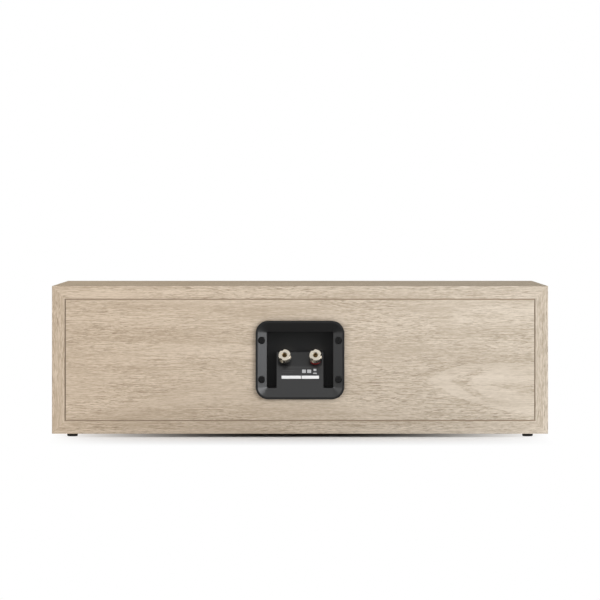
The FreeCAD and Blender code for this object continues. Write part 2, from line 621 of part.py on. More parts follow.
def make_motors():
    """Pots, magnets and pole plates of all three drivers, each kind a group of three."""
    pots = [make_pot(0, TWEETER_COIL_START, DOME_FLANGE_RADIUS, TWEETER_POT_BORE_RADIUS,
                     TWEETER_POT_DEPTH, TWEETER_BACK_DEPTH)]
    magnets = [disc(TWEETER_POLE_RADIUS - MAGNET_INSET, BAFFLE_Y + TWEETER_POLE_END,
                    BAFFLE_Y + TWEETER_POT_DEPTH, 0, MIDDLE_Z)]
    poles = [disc(TWEETER_POLE_RADIUS, BAFFLE_Y + TWEETER_POLE_START,
                  BAFFLE_Y + TWEETER_POLE_END, 0, MIDDLE_Z)]
    pole_end = POLE_START + POLE_THICKNESS
    for x in (-WOOFER_OFFSET, WOOFER_OFFSET):
        pots.append(make_pot(x, BASKET_BACK_DEPTH, POT_RADIUS, POT_BORE_RADIUS,
                             POT_FLOOR_DEPTH, POT_BACK_DEPTH))
        poles.append(disc(POLE_RADIUS, BAFFLE_Y + POLE_START, BAFFLE_Y + pole_end, x, MIDDLE_Z))
        magnets.append(disc(POLE_RADIUS - MAGNET_INSET, BAFFLE_Y + pole_end,
                            BAFFLE_Y + POT_FLOOR_DEPTH, x, MIDDLE_Z))
    groups = {"driver_pots": pots, "driver_magnets": magnets, "driver_pole_plates": poles}
    return {name: Part.makeCompound(solids) for name, solids in groups.items()}


def make_woofers():
    """Both woofers: the moving pieces each on their own, the fixed ones as pairs."""
    offsets = (("left", -WOOFER_OFFSET), ("right", WOOFER_OFFSET))
    pieces = {}
    for name, x in offsets:
        pieces[name + "_cone"] = make_cone(x)
        pieces[name + "_dust_cap"] = make_dust_cap(x)
        pieces[name + "_voice_coil"] = make_voice_coil(x)
    pieces["woofer_baskets"] = Part.makeCompound([make_basket(x) for name, x in offsets])
    pieces["woofer_surrounds"] = Part.makeCompound([make_surround(x) for name, x in offsets])
    pieces["woofer_spiders"] = Part.makeCompound([make_spider(x) for name, x in offsets])
    return pieces


def make_faceplate():
    """Round flat plate with an opening for the dome."""
    return turned([(THROAT_RADIUS, 0), (FACEPLATE_RADIUS, 0), (FACEPLATE_RADIUS, FACEPLATE_THICKNESS),
                   (THROAT_RADIUS, FACEPLATE_THICKNESS)], 0)


def make_dome():
    """Formed fabric dome with its glued flange, between the faceplate and the pot."""
    back = FACEPLATE_THICKNESS + DOME_WALL
    outside = crown(DOME_RADIUS, FACEPLATE_THICKNESS, DOME_HEIGHT, DOME_STEPS)
    inside = crown(DOME_RADIUS - DOME_WALL, back, DOME_HEIGHT, DOME_STEPS)
    flange = [(DOME_FLANGE_RADIUS, FACEPLATE_THICKNESS), (DOME_FLANGE_RADIUS, back)]
    return faceted(outside[::-1] + flange + inside, 0)


def make_tweeter():
    """Tweeter pieces apart from its motor."""
    coil_end = TWEETER_COIL_START + TWEETER_COIL_HEIGHT
    coil = faceted([(TWEETER_COIL_INNER_RADIUS, TWEETER_COIL_START), (DOME_RADIUS, TWEETER_COIL_START),
                    (DOME_RADIUS, coil_end), (TWEETER_COIL_INNER_RADIUS, coil_end)], 0)
    return {"tweeter_faceplate": make_faceplate(), "tweeter_dome": make_dome(), "tweeter_voice_coil": coil}


def make_crossover():
    """Board on two pads, with its inductors, capacitors and resistors."""
    half, y0, y1 = XOVER_WIDTH / 2, XOVER_MIDDLE_Y - XOVER_LENGTH / 2, XOVER_MIDDLE_Y + XOVER_LENGTH / 2
    board_z = FLOOR_Z + PAD_HEIGHT
    pads = [slab(-half, PAD_WIDTH - half, y0, y1, FLOOR_Z, board_z),
            slab(half - PAD_WIDTH, half, y0, y1, FLOOR_Z, board_z)]
    inductors = []
    resistors = []
    for side in (-1, 1):
        x = side * INDUCTOR_ACROSS / 2
        y = XOVER_MIDDLE_Y
        inductors.append(slab(x - INDUCTOR_SIDE / 2, x + INDUCTOR_SIDE / 2, y - INDUCTOR_SIDE / 2,
                              y + INDUCTOR_SIDE / 2, XOVER_TOP_Z, XOVER_TOP_Z + INDUCTOR_HEIGHT))
        x = side * RESISTOR_ACROSS / 2
        y = XOVER_MIDDLE_Y + RESISTOR_Y
        resistors.append(slab(x - RESISTOR_LENGTH / 2, x + RESISTOR_LENGTH / 2, y - RESISTOR_SIDE / 2,
                              y + RESISTOR_SIDE / 2, XOVER_TOP_Z, XOVER_TOP_Z + RESISTOR_SIDE))
    capacitors = []
    for index in (-1, 0, 1):
        x = index * CAPACITOR_SPACING
        y = XOVER_MIDDLE_Y + CAPACITOR_Y
        capacitors.append(slab(x - CAPACITOR_LENGTH / 2, x + CAPACITOR_LENGTH / 2, y - CAPACITOR_DEPTH / 2,
                               y + CAPACITOR_DEPTH / 2, XOVER_TOP_Z, XOVER_TOP_Z + CAPACITOR_HEIGHT))
    groups = {"crossover_pads": pads, "crossover_inductors": inductors,
              "crossover_resistors": resistors, "crossover_capacitors": capacitors}
    pieces = {name: Part.makeCompound(solids) for name, solids in groups.items()}
    pieces["crossover_board"] = slab(-half, half, y0, y1, board_z, XOVER_TOP_Z)
    return pieces


def make_lead(points, across, width, thickness):
    """A flat lead along straight runs joined by round bends; across points along its width."""
    edges = []
    start = points[0]
    for before, corner, after in zip(points, points[1:], points[2:]):
        back = (before - corner).normalize()
        onward = (after - corner).normalize()
        half_turn = (math.pi - back.getAngle(onward)) / 2
        leave = corner + back * (LEAD_BEND * math.tan(half_turn))
        rejoin = corner + onward * (LEAD_BEND * math.tan(half_turn))
        inward = (back + onward).normalize()
        crown = corner + inward * (LEAD_BEND / math.cos(half_turn) - LEAD_BEND)
        edges.append(Part.LineSegment(start, leave).toShape())
        edges.append(Part.Arc(leave, crown, rejoin).toShape())
        start = rejoin
    edges.append(Part.LineSegment(start, points[-1]).toShape())
    along = (points[1] - points[0]).normalize()
    side = across * (width / 2)
    rise = along.cross(across).normalize() * (thickness / 2)
    corners = [points[0] + offset for offset in (side + rise, rise - side, -side - rise, side - rise)]
    return Part.Wire(edges).makePipeShell([Part.makePolygon(corners + corners[:1])], True, False)


def make_leads():
    """Leads from the posts to the board, and from the board to the three drivers."""
    across_y = Vector(0, 1, 0)
    across_x = Vector(1, 0, 0)
    board_edge = XOVER_WIDTH / 2
    lead_y = BAFFLE_Y + (BASKET_BACK_DEPTH + POT_BACK_DEPTH) / 2
    woofer_leads = []
    for side in (-1, 1):
        reach = WOOFER_OFFSET - POT_RADIUS
        route = [(board_edge - PAD_WIDTH, LEAD_Z), (reach - 2 * LEAD_RISE, LEAD_Z),
                 (reach - LEAD_RISE, MIDDLE_Z), (reach, MIDDLE_Z)]
        points = [Vector(side * x, lead_y, z) for x, z in route]
        woofer_leads.append(make_lead(points, across_y, LEAD_WIDTH, LEAD_THICKNESS))
    tweeter_y = BAFFLE_Y + TWEETER_BACK_DEPTH
    route = [(XOVER_MIDDLE_Y, LEAD_Z), (tweeter_y + LEAD_RISE, LEAD_Z),
             (tweeter_y + LEAD_RISE, MIDDLE_Z), (tweeter_y, MIDDLE_Z)]
    tweeter_lead = make_lead([Vector(0, y, z) for y, z in route], across_x, LEAD_WIDTH, LEAD_THICKNESS)
    wires = []
    for side in (-1, 1):
        frame = on_ramp(Part.makeBox(1, 1, 1), side).Placement
        tongue = frame.multVec(Vector(0, TAG_REACH - WIRE_SIDE, TAG_START))
        away = frame.multVec(Vector(0, TAG_REACH - WIRE_SIDE, TAG_START - CUP_DEPTH))
        wire_z = XOVER_TOP_Z + WIRE_SIDE / 2
        down = Vector(away.x, away.y - CUP_DEPTH, wire_z)
        board = Vector(away.x, XOVER_MIDDLE_Y + XOVER_LENGTH / 2 - LEAD_BEND / 2, wire_z)
        wires.append(make_lead([tongue, away, down, board], across_x, WIRE_SIDE, WIRE_SIDE))
    return {"woofer_leads": Part.makeCompound(woofer_leads), "tweeter_lead": tweeter_lead,
            "input_wires": Part.makeCompound(wires)}


def make_wadding():
    """Two blocks of wadding at the cabinet's ends, against the rear panel."""
    pieces = {}
    for name, side in (("left", -1), ("right", 1)):
        edges = sorted((side * INNER_HALF_WIDTH, side * (INNER_HALF_WIDTH - WADDING_WIDTH)))
        pieces[name + "_wadding"] = slab(edges[0], edges[1], INSIDE_Y - WADDING_DEPTH, INSIDE_Y,
                                         FLOOR_Z, FLOOR_Z + WADDING_HEIGHT)
    return pieces


def make_pieces():
    """Every piece by its node's name."""
    pieces = make_cabinet_boards()
    pieces["rear_panel"] = make_rear_panel()
    pieces["front_baffle"] = make_front_baffle()
    pieces["rubber_feet"] = make_feet()
    pieces["terminal_cup"] = make_terminal_cup()
    pieces["terminal_gasket"] = make_terminal_gasket()
    pieces["terminal_screws"] = make_terminal_screws()
    pieces.update(make_binding_posts())
    pieces.update(make_woofers())
    pieces.update(make_motors())
    pieces.update(make_tweeter())
    pieces.update(make_crossover())
    pieces.update(make_leads())
    pieces.update(make_wadding())
    return pieces


os.makedirs("parts", exist_ok=True)
for node, shape in make_pieces().items():
    shape.exportStep("parts/" + node + ".step")
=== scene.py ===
"""Looks of a centre loudspeaker in pale oak: finishes, finely shaped pieces, screws and studio.

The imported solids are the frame. Each one keeps its place and gets its finish here, and the pieces whose
edges or curves show get a smoother mesh in the same place. Lengths are in metres.
"""
import json
import math

import bmesh
import bpy
from bpy.props import FloatProperty, FloatVectorProperty, IntProperty, PointerProperty
from mathutils import Matrix, Vector, noise
from mathutils.bvhtree import BVHTree


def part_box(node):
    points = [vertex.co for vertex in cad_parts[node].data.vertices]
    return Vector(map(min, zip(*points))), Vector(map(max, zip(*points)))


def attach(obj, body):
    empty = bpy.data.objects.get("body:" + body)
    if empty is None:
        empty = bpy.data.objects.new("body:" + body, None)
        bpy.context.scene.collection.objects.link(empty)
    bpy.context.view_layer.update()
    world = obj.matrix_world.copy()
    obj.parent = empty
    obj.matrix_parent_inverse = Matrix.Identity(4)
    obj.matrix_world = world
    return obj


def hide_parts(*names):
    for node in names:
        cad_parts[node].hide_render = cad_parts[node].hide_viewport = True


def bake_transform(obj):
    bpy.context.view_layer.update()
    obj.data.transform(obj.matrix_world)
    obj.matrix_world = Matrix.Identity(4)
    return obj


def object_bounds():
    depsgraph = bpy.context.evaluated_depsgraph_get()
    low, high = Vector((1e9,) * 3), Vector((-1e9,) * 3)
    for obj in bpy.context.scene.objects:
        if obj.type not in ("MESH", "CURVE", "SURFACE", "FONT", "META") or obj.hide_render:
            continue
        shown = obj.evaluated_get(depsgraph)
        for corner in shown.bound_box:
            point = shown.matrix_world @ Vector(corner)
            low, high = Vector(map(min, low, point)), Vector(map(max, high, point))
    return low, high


bl_info = {
    "name": "Oak Centre Loudspeaker",
    "version": (1, 0, 0),
    "blender": (4, 5, 0),
    "location": "View3D > Sidebar > Loudspeaker",
    "description": "Dresses a packed centre loudspeaker: oak cabinet, terminal cup, posts and drivers",
    "category": "Object",
}

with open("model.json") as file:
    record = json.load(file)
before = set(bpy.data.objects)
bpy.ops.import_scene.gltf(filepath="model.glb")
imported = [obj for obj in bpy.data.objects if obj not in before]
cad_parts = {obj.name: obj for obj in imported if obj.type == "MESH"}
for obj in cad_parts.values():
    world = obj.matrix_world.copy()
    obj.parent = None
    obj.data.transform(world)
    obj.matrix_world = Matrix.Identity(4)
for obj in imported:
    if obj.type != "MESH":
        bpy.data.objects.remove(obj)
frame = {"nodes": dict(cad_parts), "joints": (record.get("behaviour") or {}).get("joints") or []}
CAD_LOW, CAD_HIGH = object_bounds()

MM = 0.001
TINY = 1e-6
QUARTER_TURN = math.pi / 2
SIDES = ("left", "right")
POLES = ("positive", "negative")

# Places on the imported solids
REAR_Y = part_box("rear_panel")[1].y
REAR_SKIN_Y = REAR_Y - 1.0 * MM
BAFFLE_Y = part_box("front_baffle")[0].y
TOP_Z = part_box("top_panel")[1].z
CUP_LOW, CUP_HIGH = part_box("terminal_cup")
MIDDLE_Z = (CUP_LOW.z + CUP_HIGH.z) / 2
POST_AXIS = Vector(next(joint["axis"] for joint in frame["joints"] if joint["type"] == "hinge"))

# Boards: the turn that lays the pattern along the grain, and the part of the pattern it is cut from
GRAIN_ALONG_X = (0.0, 0.0, 0.0)
GRAIN_ALONG_Z = (0.0, QUARTER_TURN, 0.0)
BOARDS = (
    ("top_panel", GRAIN_ALONG_X, (0.31, 0.0, 0.12)),
    ("bottom_panel", GRAIN_ALONG_X, (0.83, 0.0, 0.57)),
    ("left_panel", GRAIN_ALONG_Z, (0.0, 0.0, 0.9)),
    ("right_panel", GRAIN_ALONG_Z, (0.45, 0.0, 1.4)),
    ("rear_panel", GRAIN_ALONG_X, (0.0, 0.0, 0.0)),
)

# Layers of the oak's pattern: stretch along and across the grain, detail, roughness
OAK_SWAY = ((7.0, 24.0, 24.0), 2.0, 0.5)
OAK_BANDS = ((5.0, 90.0, 90.0), 3.0, 0.55)
OAK_STREAKS = ((36.0, 1700.0, 1700.0), 2.0, 0.6)
OAK_FIBRE = ((200.0, 2100.0, 2100.0), 2.0, 0.6)
OAK_PATCHES = ((12.0, 50.0, 50.0), 2.0, 0.5)
OAK_PORES = ((120.0, 1500.0, 1500.0), 2.0, 0.6)
FLAME_SWELL = ((45.0, 60.0, 260.0), 4.0, 0.65)

# Steps of those layers: from, to, and what they give at each end where that isn't 0 and 1
PATCH_STEP = (0.30, 0.62, 0.15, 1.0)
PORE_STEP = (0.56, 0.66)
TONE_STEP = (0.05, 1.15)
OAK_GLOSS = (0.2, 0.8, 0.52, 0.64)
OAK_SPECULAR = 0.06
# Share of the fine lines between the patches, and what a patch adds to it
FINE_LEAST = 0.4
FINE_GAIN = 0.7

# Flame on the rear panel: its tip, the form of its rings, the dark gap between them and its dark heart
FLAME_TIP_X = -0.1165
FLAME_TIP_Z = 0.0530
FLAME_SPACING = 0.0345
FLAME_SPREAD = 1.5
FLAME_LEAN = 0.10
FLAME_RIPPLE = 0.012
FLAME_CLOSING = 1.6e5
FLAME_CLOSING_POWER = 4.0
FLAME_EDGE = (-0.03, 0.05)
FLAME_SHADOW = (-0.6, 0.0)
FLAME_SHADOW_DEPTH = 0.35
FLAME_FADE = (0.045, 0.090, 1.0, 0.6)
GAP_START = (0.52, 0.72)
GAP_END = (0.93, 1.03)
GAP_FADE = (0.034, 0.064, 1.0, 0.0)
GAP_DEPTH = 1.5
HEART_START = 0.054
HEART_SLOPE = 7.0
HEART_EDGE = (-0.003, 0.006)
# What the flame leaves of the fine lines and pores, and how much paler it makes the wood
FLAME_CALM = 0.42
FLAME_LIFT = 0.19

# Plainer finishes: their slow drift and how dark it gets, how far the gloss varies, and their fine marks
GRAIN_DRIFT = 45.0
GRAIN_DARK = 0.86
GRAIN_GLOSS = 0.05
METAL_DRIFT = 160.0
METAL_DARK = 0.82
METAL_GLOSS_BELOW = 0.05
METAL_GLOSS_ABOVE = 0.07
METAL_RELIEF = 0.000006
FIBRE_DARK = 0.6
FIBRE_SPECULAR = 0.25
FIBRE_STRETCH = 0.25
FIBRE_CROSS_STRETCH = 0.3
MARK_STEP = (0.2, 0.8)
FELT_STEP = (0.35, 0.65)

# Angles in degrees: whole faces, rounded edges, outer edges of boards, and smooth shading
FLAT_ANGLE = 0.5
SHARP_ANGLE = 28.0
SQUARE_ANGLE = 60.0
SMOOTH_ANGLE = 32.0
FLAT_FACE_WEIGHT = 90

# Parts of a face's or an edge's direction: a groove's slope, a mitre's, and an edge along the posts' axis
GROOVE_SLOPE = 0.5
MITRE_SLOPE = 0.1
ALONG_AXIS = 0.9

# Blank labels on the ramp: middle, width
LABELS = (("left_label", 7.9 * MM, 17.6 * MM), ("right_label", -9.35 * MM, 15.8 * MM))
# Plain fields above them: finish, middle, width, drop from the cup's centre, height
FIELDS = (
    ("first_field", "pale", -3.6 * MM, 3.4 * MM, 10.6 * MM, 3.2 * MM),
    ("second_field", "pale", -8.3 * MM, 3.6 * MM, 10.6 * MM, 3.2 * MM),
    ("third_field", "pale", -13.6 * MM, 2.6 * MM, 9.4 * MM, 2.0 * MM),
    ("fourth_field", "pale", -13.6 * MM, 3.4 * MM, 12.4 * MM, 1.0 * MM),
    ("first_line", "faint", 10.4 * MM, 11.0 * MM, 10.0 * MM, 0.7 * MM),
    ("second_line", "faint", 11.2 * MM, 9.4 * MM, 11.7 * MM, 0.7 * MM),
    ("third_line", "faint", -1.5 * MM, 26.0 * MM, 7.5 * MM, 0.5 * MM),
)
LABEL_CORNER = 0.12

# Screws: sizes of the cup's, shares of any head's height and radius, and of the recess on the drivers' screws
CUP_SCREW_RADIUS = 3.15 * MM
CUP_SCREW_HEIGHT = 1.6 * MM
CUP_SHANK_RADIUS = 1.6 * MM
SCREW_CROWN = 0.35
RECESS_REACH = 1.3
SCREW_SEGMENTS = 32
SMALL_RECESS_WIDTH = 0.7
SMALL_RECESS_DEPTH = 0.6

# Feet
FOOT_RADIUS = 5.0 * MM
FOOT_TAPER = 0.3 * MM
FOOT_ROUND = 0.7 * MM
FOOT_SEGMENTS = 40

# Woofers: thin walls, the cone's bow, the roll's seat and the spider's waves
CONE_WALL = 1.0 * MM
CONE_BOW = 0.9 * MM
CONE_STEPS = 14
CAP_WALL = 0.7 * MM
CAP_STEPS = 12
ROLL_WALL = 0.6 * MM
ROLL_LAP = 2.0 * MM
ROLL_LEDGE = 41.5 * MM
ROLL_SETBACK = 2.4 * MM
ROLL_STEPS = 20
SPIDER_WALL = 0.3 * MM
SPIDER_WAVES = 4
SPIDER_STEPS = 32

# Tweeter
THROAT_RADIUS = 15.0 * MM
THROAT_DEPTH = 1.2 * MM
THROAT_ROUND = 0.4 * MM
FLARE_WIDTH = 6.0 * MM
FLARE_ROUND = 2.2 * MM
PLATE_ROUND = 0.5 * MM
DOME_RADIUS = 13.0 * MM
DOME_WALL = 0.4 * MM
DOME_STEPS = 14

# Wadding
WADDING_CUTS = 15
WADDING_CROWN = 0.11
WADDING_SIZE = 0.93
WADDING_LUMP = 0.06
WADDING_LUMP_SCALE = 2.3
WADDING_LUMP_START = Vector((7.0, 0.0, 0.0))

# Lights: strength's name, place, side of the square, tone
LIGHTS = (
    ("key", (-1.15, 1.35, 0.40), 1.1, (0.99, 1.0, 1.02)),
    ("fill", (2.6, 2.7, 0.7), 2.4, (1.0, 1.0, 1.0)),
    ("front", (0.9, -1.9, 1.9), 1.6, (1.07, 1.0, 0.84)),
    ("top", (0.0, 2.6, 2.7), 2.6, (1.0, 1.0, 1.0)),
)
SKY_STEP = (-0.05, 0.9)
GROUND_DIM = (-0.12, 0.02, 0.12, 1.0)
FRONT_DIM = (-0.7, 0.3, 0.25, 1.0)
WHITE = (1.0, 1.0, 1.0, 1.0)

# Inputs of the pattern trees
GRID = "GeometryNodeMeshGrid"
RING = "GeometryNodeMeshCircle"
PATTERN_INPUTS = (
    ("Geometry", "NodeSocketGeometry"),
    ("Centre", "NodeSocketVector"),
    ("Turn", "NodeSocketVector"),
    ("Material", "NodeSocketMaterial"),
)
PATTERN_SIZES = {
    GRID: (("Size X", "NodeSocketFloat"), ("Size Y", "NodeSocketFloat"),
           ("Vertices X", "NodeSocketInt"), ("Vertices Y", "NodeSocketInt")),
    RING: (("Vertices", "NodeSocketInt"), ("Radius", "NodeSocketFloat")),
}


def length(name, default, description):
    """A length that a user may change."""
    return FloatProperty(name=name, description=description, default=default,
                         min=0.0, precision=5, unit="LENGTH")


def share(name, default, description):
    """A number from 0 to 1."""
    return FloatProperty(name=name, description=description, default=default,
                         min=0.0, max=1.0, subtype="FACTOR")


def amount(name, default, description):
    """A plain number without a unit."""
    return FloatProperty(name=name, description=description, default=default)


def count(name, default, least, most, description):
    """A whole number between two limits."""
    return IntProperty(name=name, description=description, default=default, min=least, max=most)


def colour(name, default, description):
    """A linear colour."""
    return FloatVectorProperty(name=name, description=description, default=default, size=3,
                               min=0.0, max=2.0, subtype="COLOR")


class SpeakerOak(bpy.types.PropertyGroup):
    """Cabinet boards and baffle."""
    pale: colour("Pale", (0.712, 0.600, 0.484), "Colour of the palest streaks")
    warm: colour("Warm", (0.476, 0.382, 0.286), "Colour of the darkest streaks")
    pore: colour("Pore", (0.304, 0.235, 0.168), "Colour of the short open pores")
    groove: colour("Groove", (0.395, 0.308, 0.226), "Colour of the cut edge in the groove round the panel")
    groove_upright: colour("Upright groove", (0.265, 0.205, 0.150), "Colour of the groove's upright sides")
    # Tints of painted light along X: cooler and paler towards minus X, where the key light falls, warmer and
    # darker towards plus X
    left_cast: colour("Left cast", (0.905, 0.880, 0.845), "Cast of the wood towards plus X")
    right_cast: colour("Right cast", (0.919, 0.957, 0.985), "Cast of the wood towards minus X")
    baffle: colour("Baffle", (0.018, 0.018, 0.0185), "Colour of the painted baffle")
    sway: length("Sway", 0.011, "How far the grain wanders off its line")
    band_weight: amount("Band weight", 1.2, "Strength of the broad bands")
    fine_weight: amount("Fine weight", 2.4, "Strength of the streaks and fibres")
    pore_share: share("Pore share", 0.8, "How far the pores take their own colour")
    relief: length("Relief", 0.00006, "Depth of the pores")
    edge: length("Edge", 0.00035, "Radius of the boards' edges")


class SpeakerCup(bpy.types.PropertyGroup):
    """Terminal cup, its labels and its screws."""
    plastic: colour("Plastic", (0.0045, 0.0045, 0.0048), "Colour of the moulding")
    shine: share("Shine", 0.75, "Specular level at the lip")
    # The recess's lower shine is painted shade that darkens it
    painted_shade_shine: share("Deep shine", 0.60, "Specular level in the recess")
    edge: length("Edge", 0.00025, "Radius of the moulding's edges")
    label_height: length("Label height", 0.0029, "Height of each blank label")
    label_drop: length("Label drop", 0.0159, "From the cup's centre down to the labels")
    label_thickness: length("Label thickness", 0.00012, "Thickness of the labels")
    screw: colour("Screw", (0.0062, 0.0060, 0.0062), "Colour of the screws")
    recess_width: length("Recess width", 0.0009, "Width of a screw's cross recess")
    recess_depth: length("Recess depth", 0.0009, "Depth of a screw's cross recess")


class SpeakerPosts(bpy.types.PropertyGroup):
    """Binding posts."""
    nickel: colour("Nickel", (0.69, 0.63, 0.535), "Colour of the knobs")
    brass: colour("Brass", (0.53, 0.437, 0.29), "Colour of the plug sockets")
    positive: colour("Positive", (0.36, 0.008, 0.009), "Colour of the positive collar")
    negative: colour("Negative", (0.010, 0.010, 0.010), "Colour of the negative collar")
    edge: length("Edge", 0.00018, "Radius of the knobs' edges")


class SpeakerDrivers(bpy.types.PropertyGroup):
    """Woofers and tweeter."""
    cone: colour("Cone", (0.030, 0.030, 0.031), "Colour of the paper cones")
    metal: colour("Metal", (0.018, 0.018, 0.019), "Colour of the painted chassis")
    rubber: colour("Rubber", (0.010, 0.010, 0.010), "Colour of the surrounds and feet")
    segments: count("Segments", 96, 12, 256, "Steps round a turned piece")
    screws: count("Screws", 4, 3, 12, "Screws round each driver")
    screw_radius: length("Screw radius", 0.0024, "Radius of a driver screw's head")
    screw_height: length("Screw height", 0.0011, "Height of a driver screw's head")
    shank_radius: length("Shank radius", 0.0012, "Radius of a driver screw's shank")
    shank_length: length("Shank length", 0.003, "Length of a driver screw's shank")
    woofer_ring: length("Woofer ring", 0.0487, "Radius of the ring of screws round a woofer")
    tweeter_inset: length("Tweeter inset", 0.0055, "From the tweeter's edge in to its ring of screws")


class SpeakerStage(bpy.types.PropertyGroup):
    """Floor, light and camera."""
    camera_distance: length("Camera distance", 3.14, "From the rear panel to the camera")
    camera_rise: length("Camera rise", 0.0726, "Height of the camera above the cabinet's top")
    lens: FloatProperty(name="Lens", description="Focal length", default=207.7, unit="CAMERA")
    frame_drop: amount("Frame drop", 94.0, "Pixels from the horizon down to the frame's middle")
    frame_size: amount("Frame size", 600.0, "Width and height of the frame in pixels")
    # The floor's shade round the cabinet is a painted shadow in the floor's material, darkest under the
    # middle of the long sides
    floor: colour("Floor", (1.0, 1.0, 1.0), "Colour of the floor in the cabinet's shade")
    bounce: colour("Bounce", (0.27, 0.24, 0.18), "Colour of the shaded floor in the light it throws back")
    mirrored: amount("Mirrored", 0.17, "Brightness of the open floor in glossy surfaces")
    shade_reach: length("Shade reach", 0.11, "How far the shade goes out from the cabinet's long sides")
    shade_half: length("Shade half", 0.226, "From the cabinet's middle to the ends of the shade")
    shade_power: amount("Shade power", 3.5, "How late the shade fades towards its ends")
    floor_size: length("Floor size", 30.0, "Side of the square floor")
    sky: amount("Sky", 0.42, "Strength of the light overhead")
    horizon: amount("Horizon", 0.26, "Strength of the light near the horizon")
    key: amount("Key", 4.9, "Strength of the large light at the right of the rear")
    fill: amount("Fill", 1.75, "Strength of the light at the left of the rear")
    front: amount("Front", 4.0, "Strength of the light before the drivers")
    top: amount("Top", 0.62, "Strength of the light above the rear")


def settings(group):
    """The property group of that name on the scene."""
    return getattr(bpy.context.scene, "speaker_" + group)


# Node helpers


def fill_socket(tree, socket, value):
    """Links an output to a socket, or sets the socket's own value."""
    if isinstance(value, bpy.types.NodeSocket):
        tree.links.new(value, socket)
    else:
        socket.default_value = value


def add_node(tree, kind, inputs=None, **options):
    """Adds a node with its options, and fills its inputs by name."""
    made = tree.nodes.new(kind)
    for name, value in options.items():
        setattr(made, name, value)
    for name, value in (inputs or {}).items():
        fill_socket(tree, made.inputs[name], value)
    return made


def compute(tree, operation, *values):
    """A Math node's result."""
    made = add_node(tree, "ShaderNodeMath", operation=operation)
    for socket, value in zip(made.inputs, values):
        fill_socket(tree, socket, value)
    return made.outputs[0]


def ease(tree, value, low, high, start=0.0, end=1.0):
    """A smooth step of a value from start to end as it goes from low to high."""
    limits = {"Value": value, "From Min": low, "From Max": high, "To Min": start, "To Max": end}
    return add_node(tree, "ShaderNodeMapRange", limits, interpolation_type="SMOOTHSTEP").outputs["Result"]


def tint(tree, factor, first, second):
    """A mix of two colours, each an output or three numbers."""
    made = add_node(tree, "ShaderNodeMix", data_type="RGBA")
    fill_socket(tree, made.inputs[0], factor)
    for index, value in ((6, first), (7, second)):
        plain = not isinstance(value, bpy.types.NodeSocket)
        fill_socket(tree, made.inputs[index], (*value, 1.0) if plain else value)
    return made.outputs[2]


def mix_shaders(tree, factor, first, second):
    """A mix of two shaders."""
    return add_node(tree, "ShaderNodeMixShader", {0: factor, 1: first, 2: second}).outputs[0]


def cloud(tree, vector, scale, detail=2.0, rough=0.5):
    """Noise of a vector; a scale of three numbers stretches it."""
    if isinstance(scale, tuple):
        stretched = add_node(tree, "ShaderNodeVectorMath", {0: vector, 1: scale}, operation="MULTIPLY")
        vector = stretched.outputs[0]
        scale = 1.0
    inputs = {"Vector": vector, "Scale": scale, "Detail": detail, "Roughness": rough}
    return add_node(tree, "ShaderNodeTexNoise", inputs).outputs["Fac"]


def object_place(tree):
    """Object coordinates of the shaded point."""
    return add_node(tree, "ShaderNodeTexCoord").outputs["Object"]


def split(tree, vector):
    """The outputs X, Y and Z of a vector."""
    return add_node(tree, "ShaderNodeSeparateXYZ", {"Vector": vector}).outputs


def raise_bump(tree, shader, height, depth, strength):
    """Gives a shader small relief of that depth."""
    inputs = {"Height": height, "Distance": depth, "Strength": strength}
    tree.links.new(add_node(tree, "ShaderNodeBump", inputs).outputs["Normal"], shader.inputs["Normal"])


def new_material(name):
    """A material with its tree and its main shader."""
    made = bpy.data.materials.new(name)
    made.use_nodes = True
    return made, made.node_tree, made.node_tree.nodes["Principled BSDF"]


# Finishes


def flame_mask(tree, place):
    """Where the pale flame lies on the rear panel: nested points that open towards minus X."""
    axes = split(tree, place)
    swell = compute(tree, "SUBTRACT", cloud(tree, place, *FLAME_SWELL), 0.5)
    along = compute(tree, "SUBTRACT", FLAME_TIP_X, axes["X"])
    ragged = compute(tree, "MULTIPLY_ADD", swell, FLAME_RIPPLE, along)
    across = compute(tree, "SUBTRACT", axes["Z"], FLAME_TIP_Z)
    across = compute(tree, "ABSOLUTE", compute(tree, "MULTIPLY_ADD", along, FLAME_LEAN, across))
    arms = compute(tree, "MULTIPLY", compute(tree, "POWER", across, FLAME_CLOSING_POWER), FLAME_CLOSING)
    arms = compute(tree, "MULTIPLY_ADD", across, FLAME_SPREAD, arms)
    rings = compute(tree, "DIVIDE", compute(tree, "SUBTRACT", ragged, arms), FLAME_SPACING)
    inside = ease(tree, rings, *FLAME_EDGE)
    shadow = compute(tree, "SUBTRACT", ease(tree, rings, *FLAME_SHADOW), inside)
    gap = compute(tree, "SUBTRACT", ease(tree, rings, *GAP_START), ease(tree, rings, *GAP_END))
    gap = compute(tree, "MULTIPLY", gap, ease(tree, along, *GAP_FADE))
    heart = compute(tree, "SUBTRACT", ragged, HEART_START)
    heart = compute(tree, "SUBTRACT", heart, compute(tree, "MULTIPLY", across, HEART_SLOPE))
    dark = compute(tree, "MAXIMUM", gap, ease(tree, heart, *HEART_EDGE))
    pale = compute(tree, "MULTIPLY", inside, compute(tree, "MULTIPLY_ADD", dark, -GAP_DEPTH, 1.0))
    mask = compute(tree, "MULTIPLY_ADD", shadow, -FLAME_SHADOW_DEPTH, pale)
    return compute(tree, "MULTIPLY", mask, ease(tree, along, *FLAME_FADE))


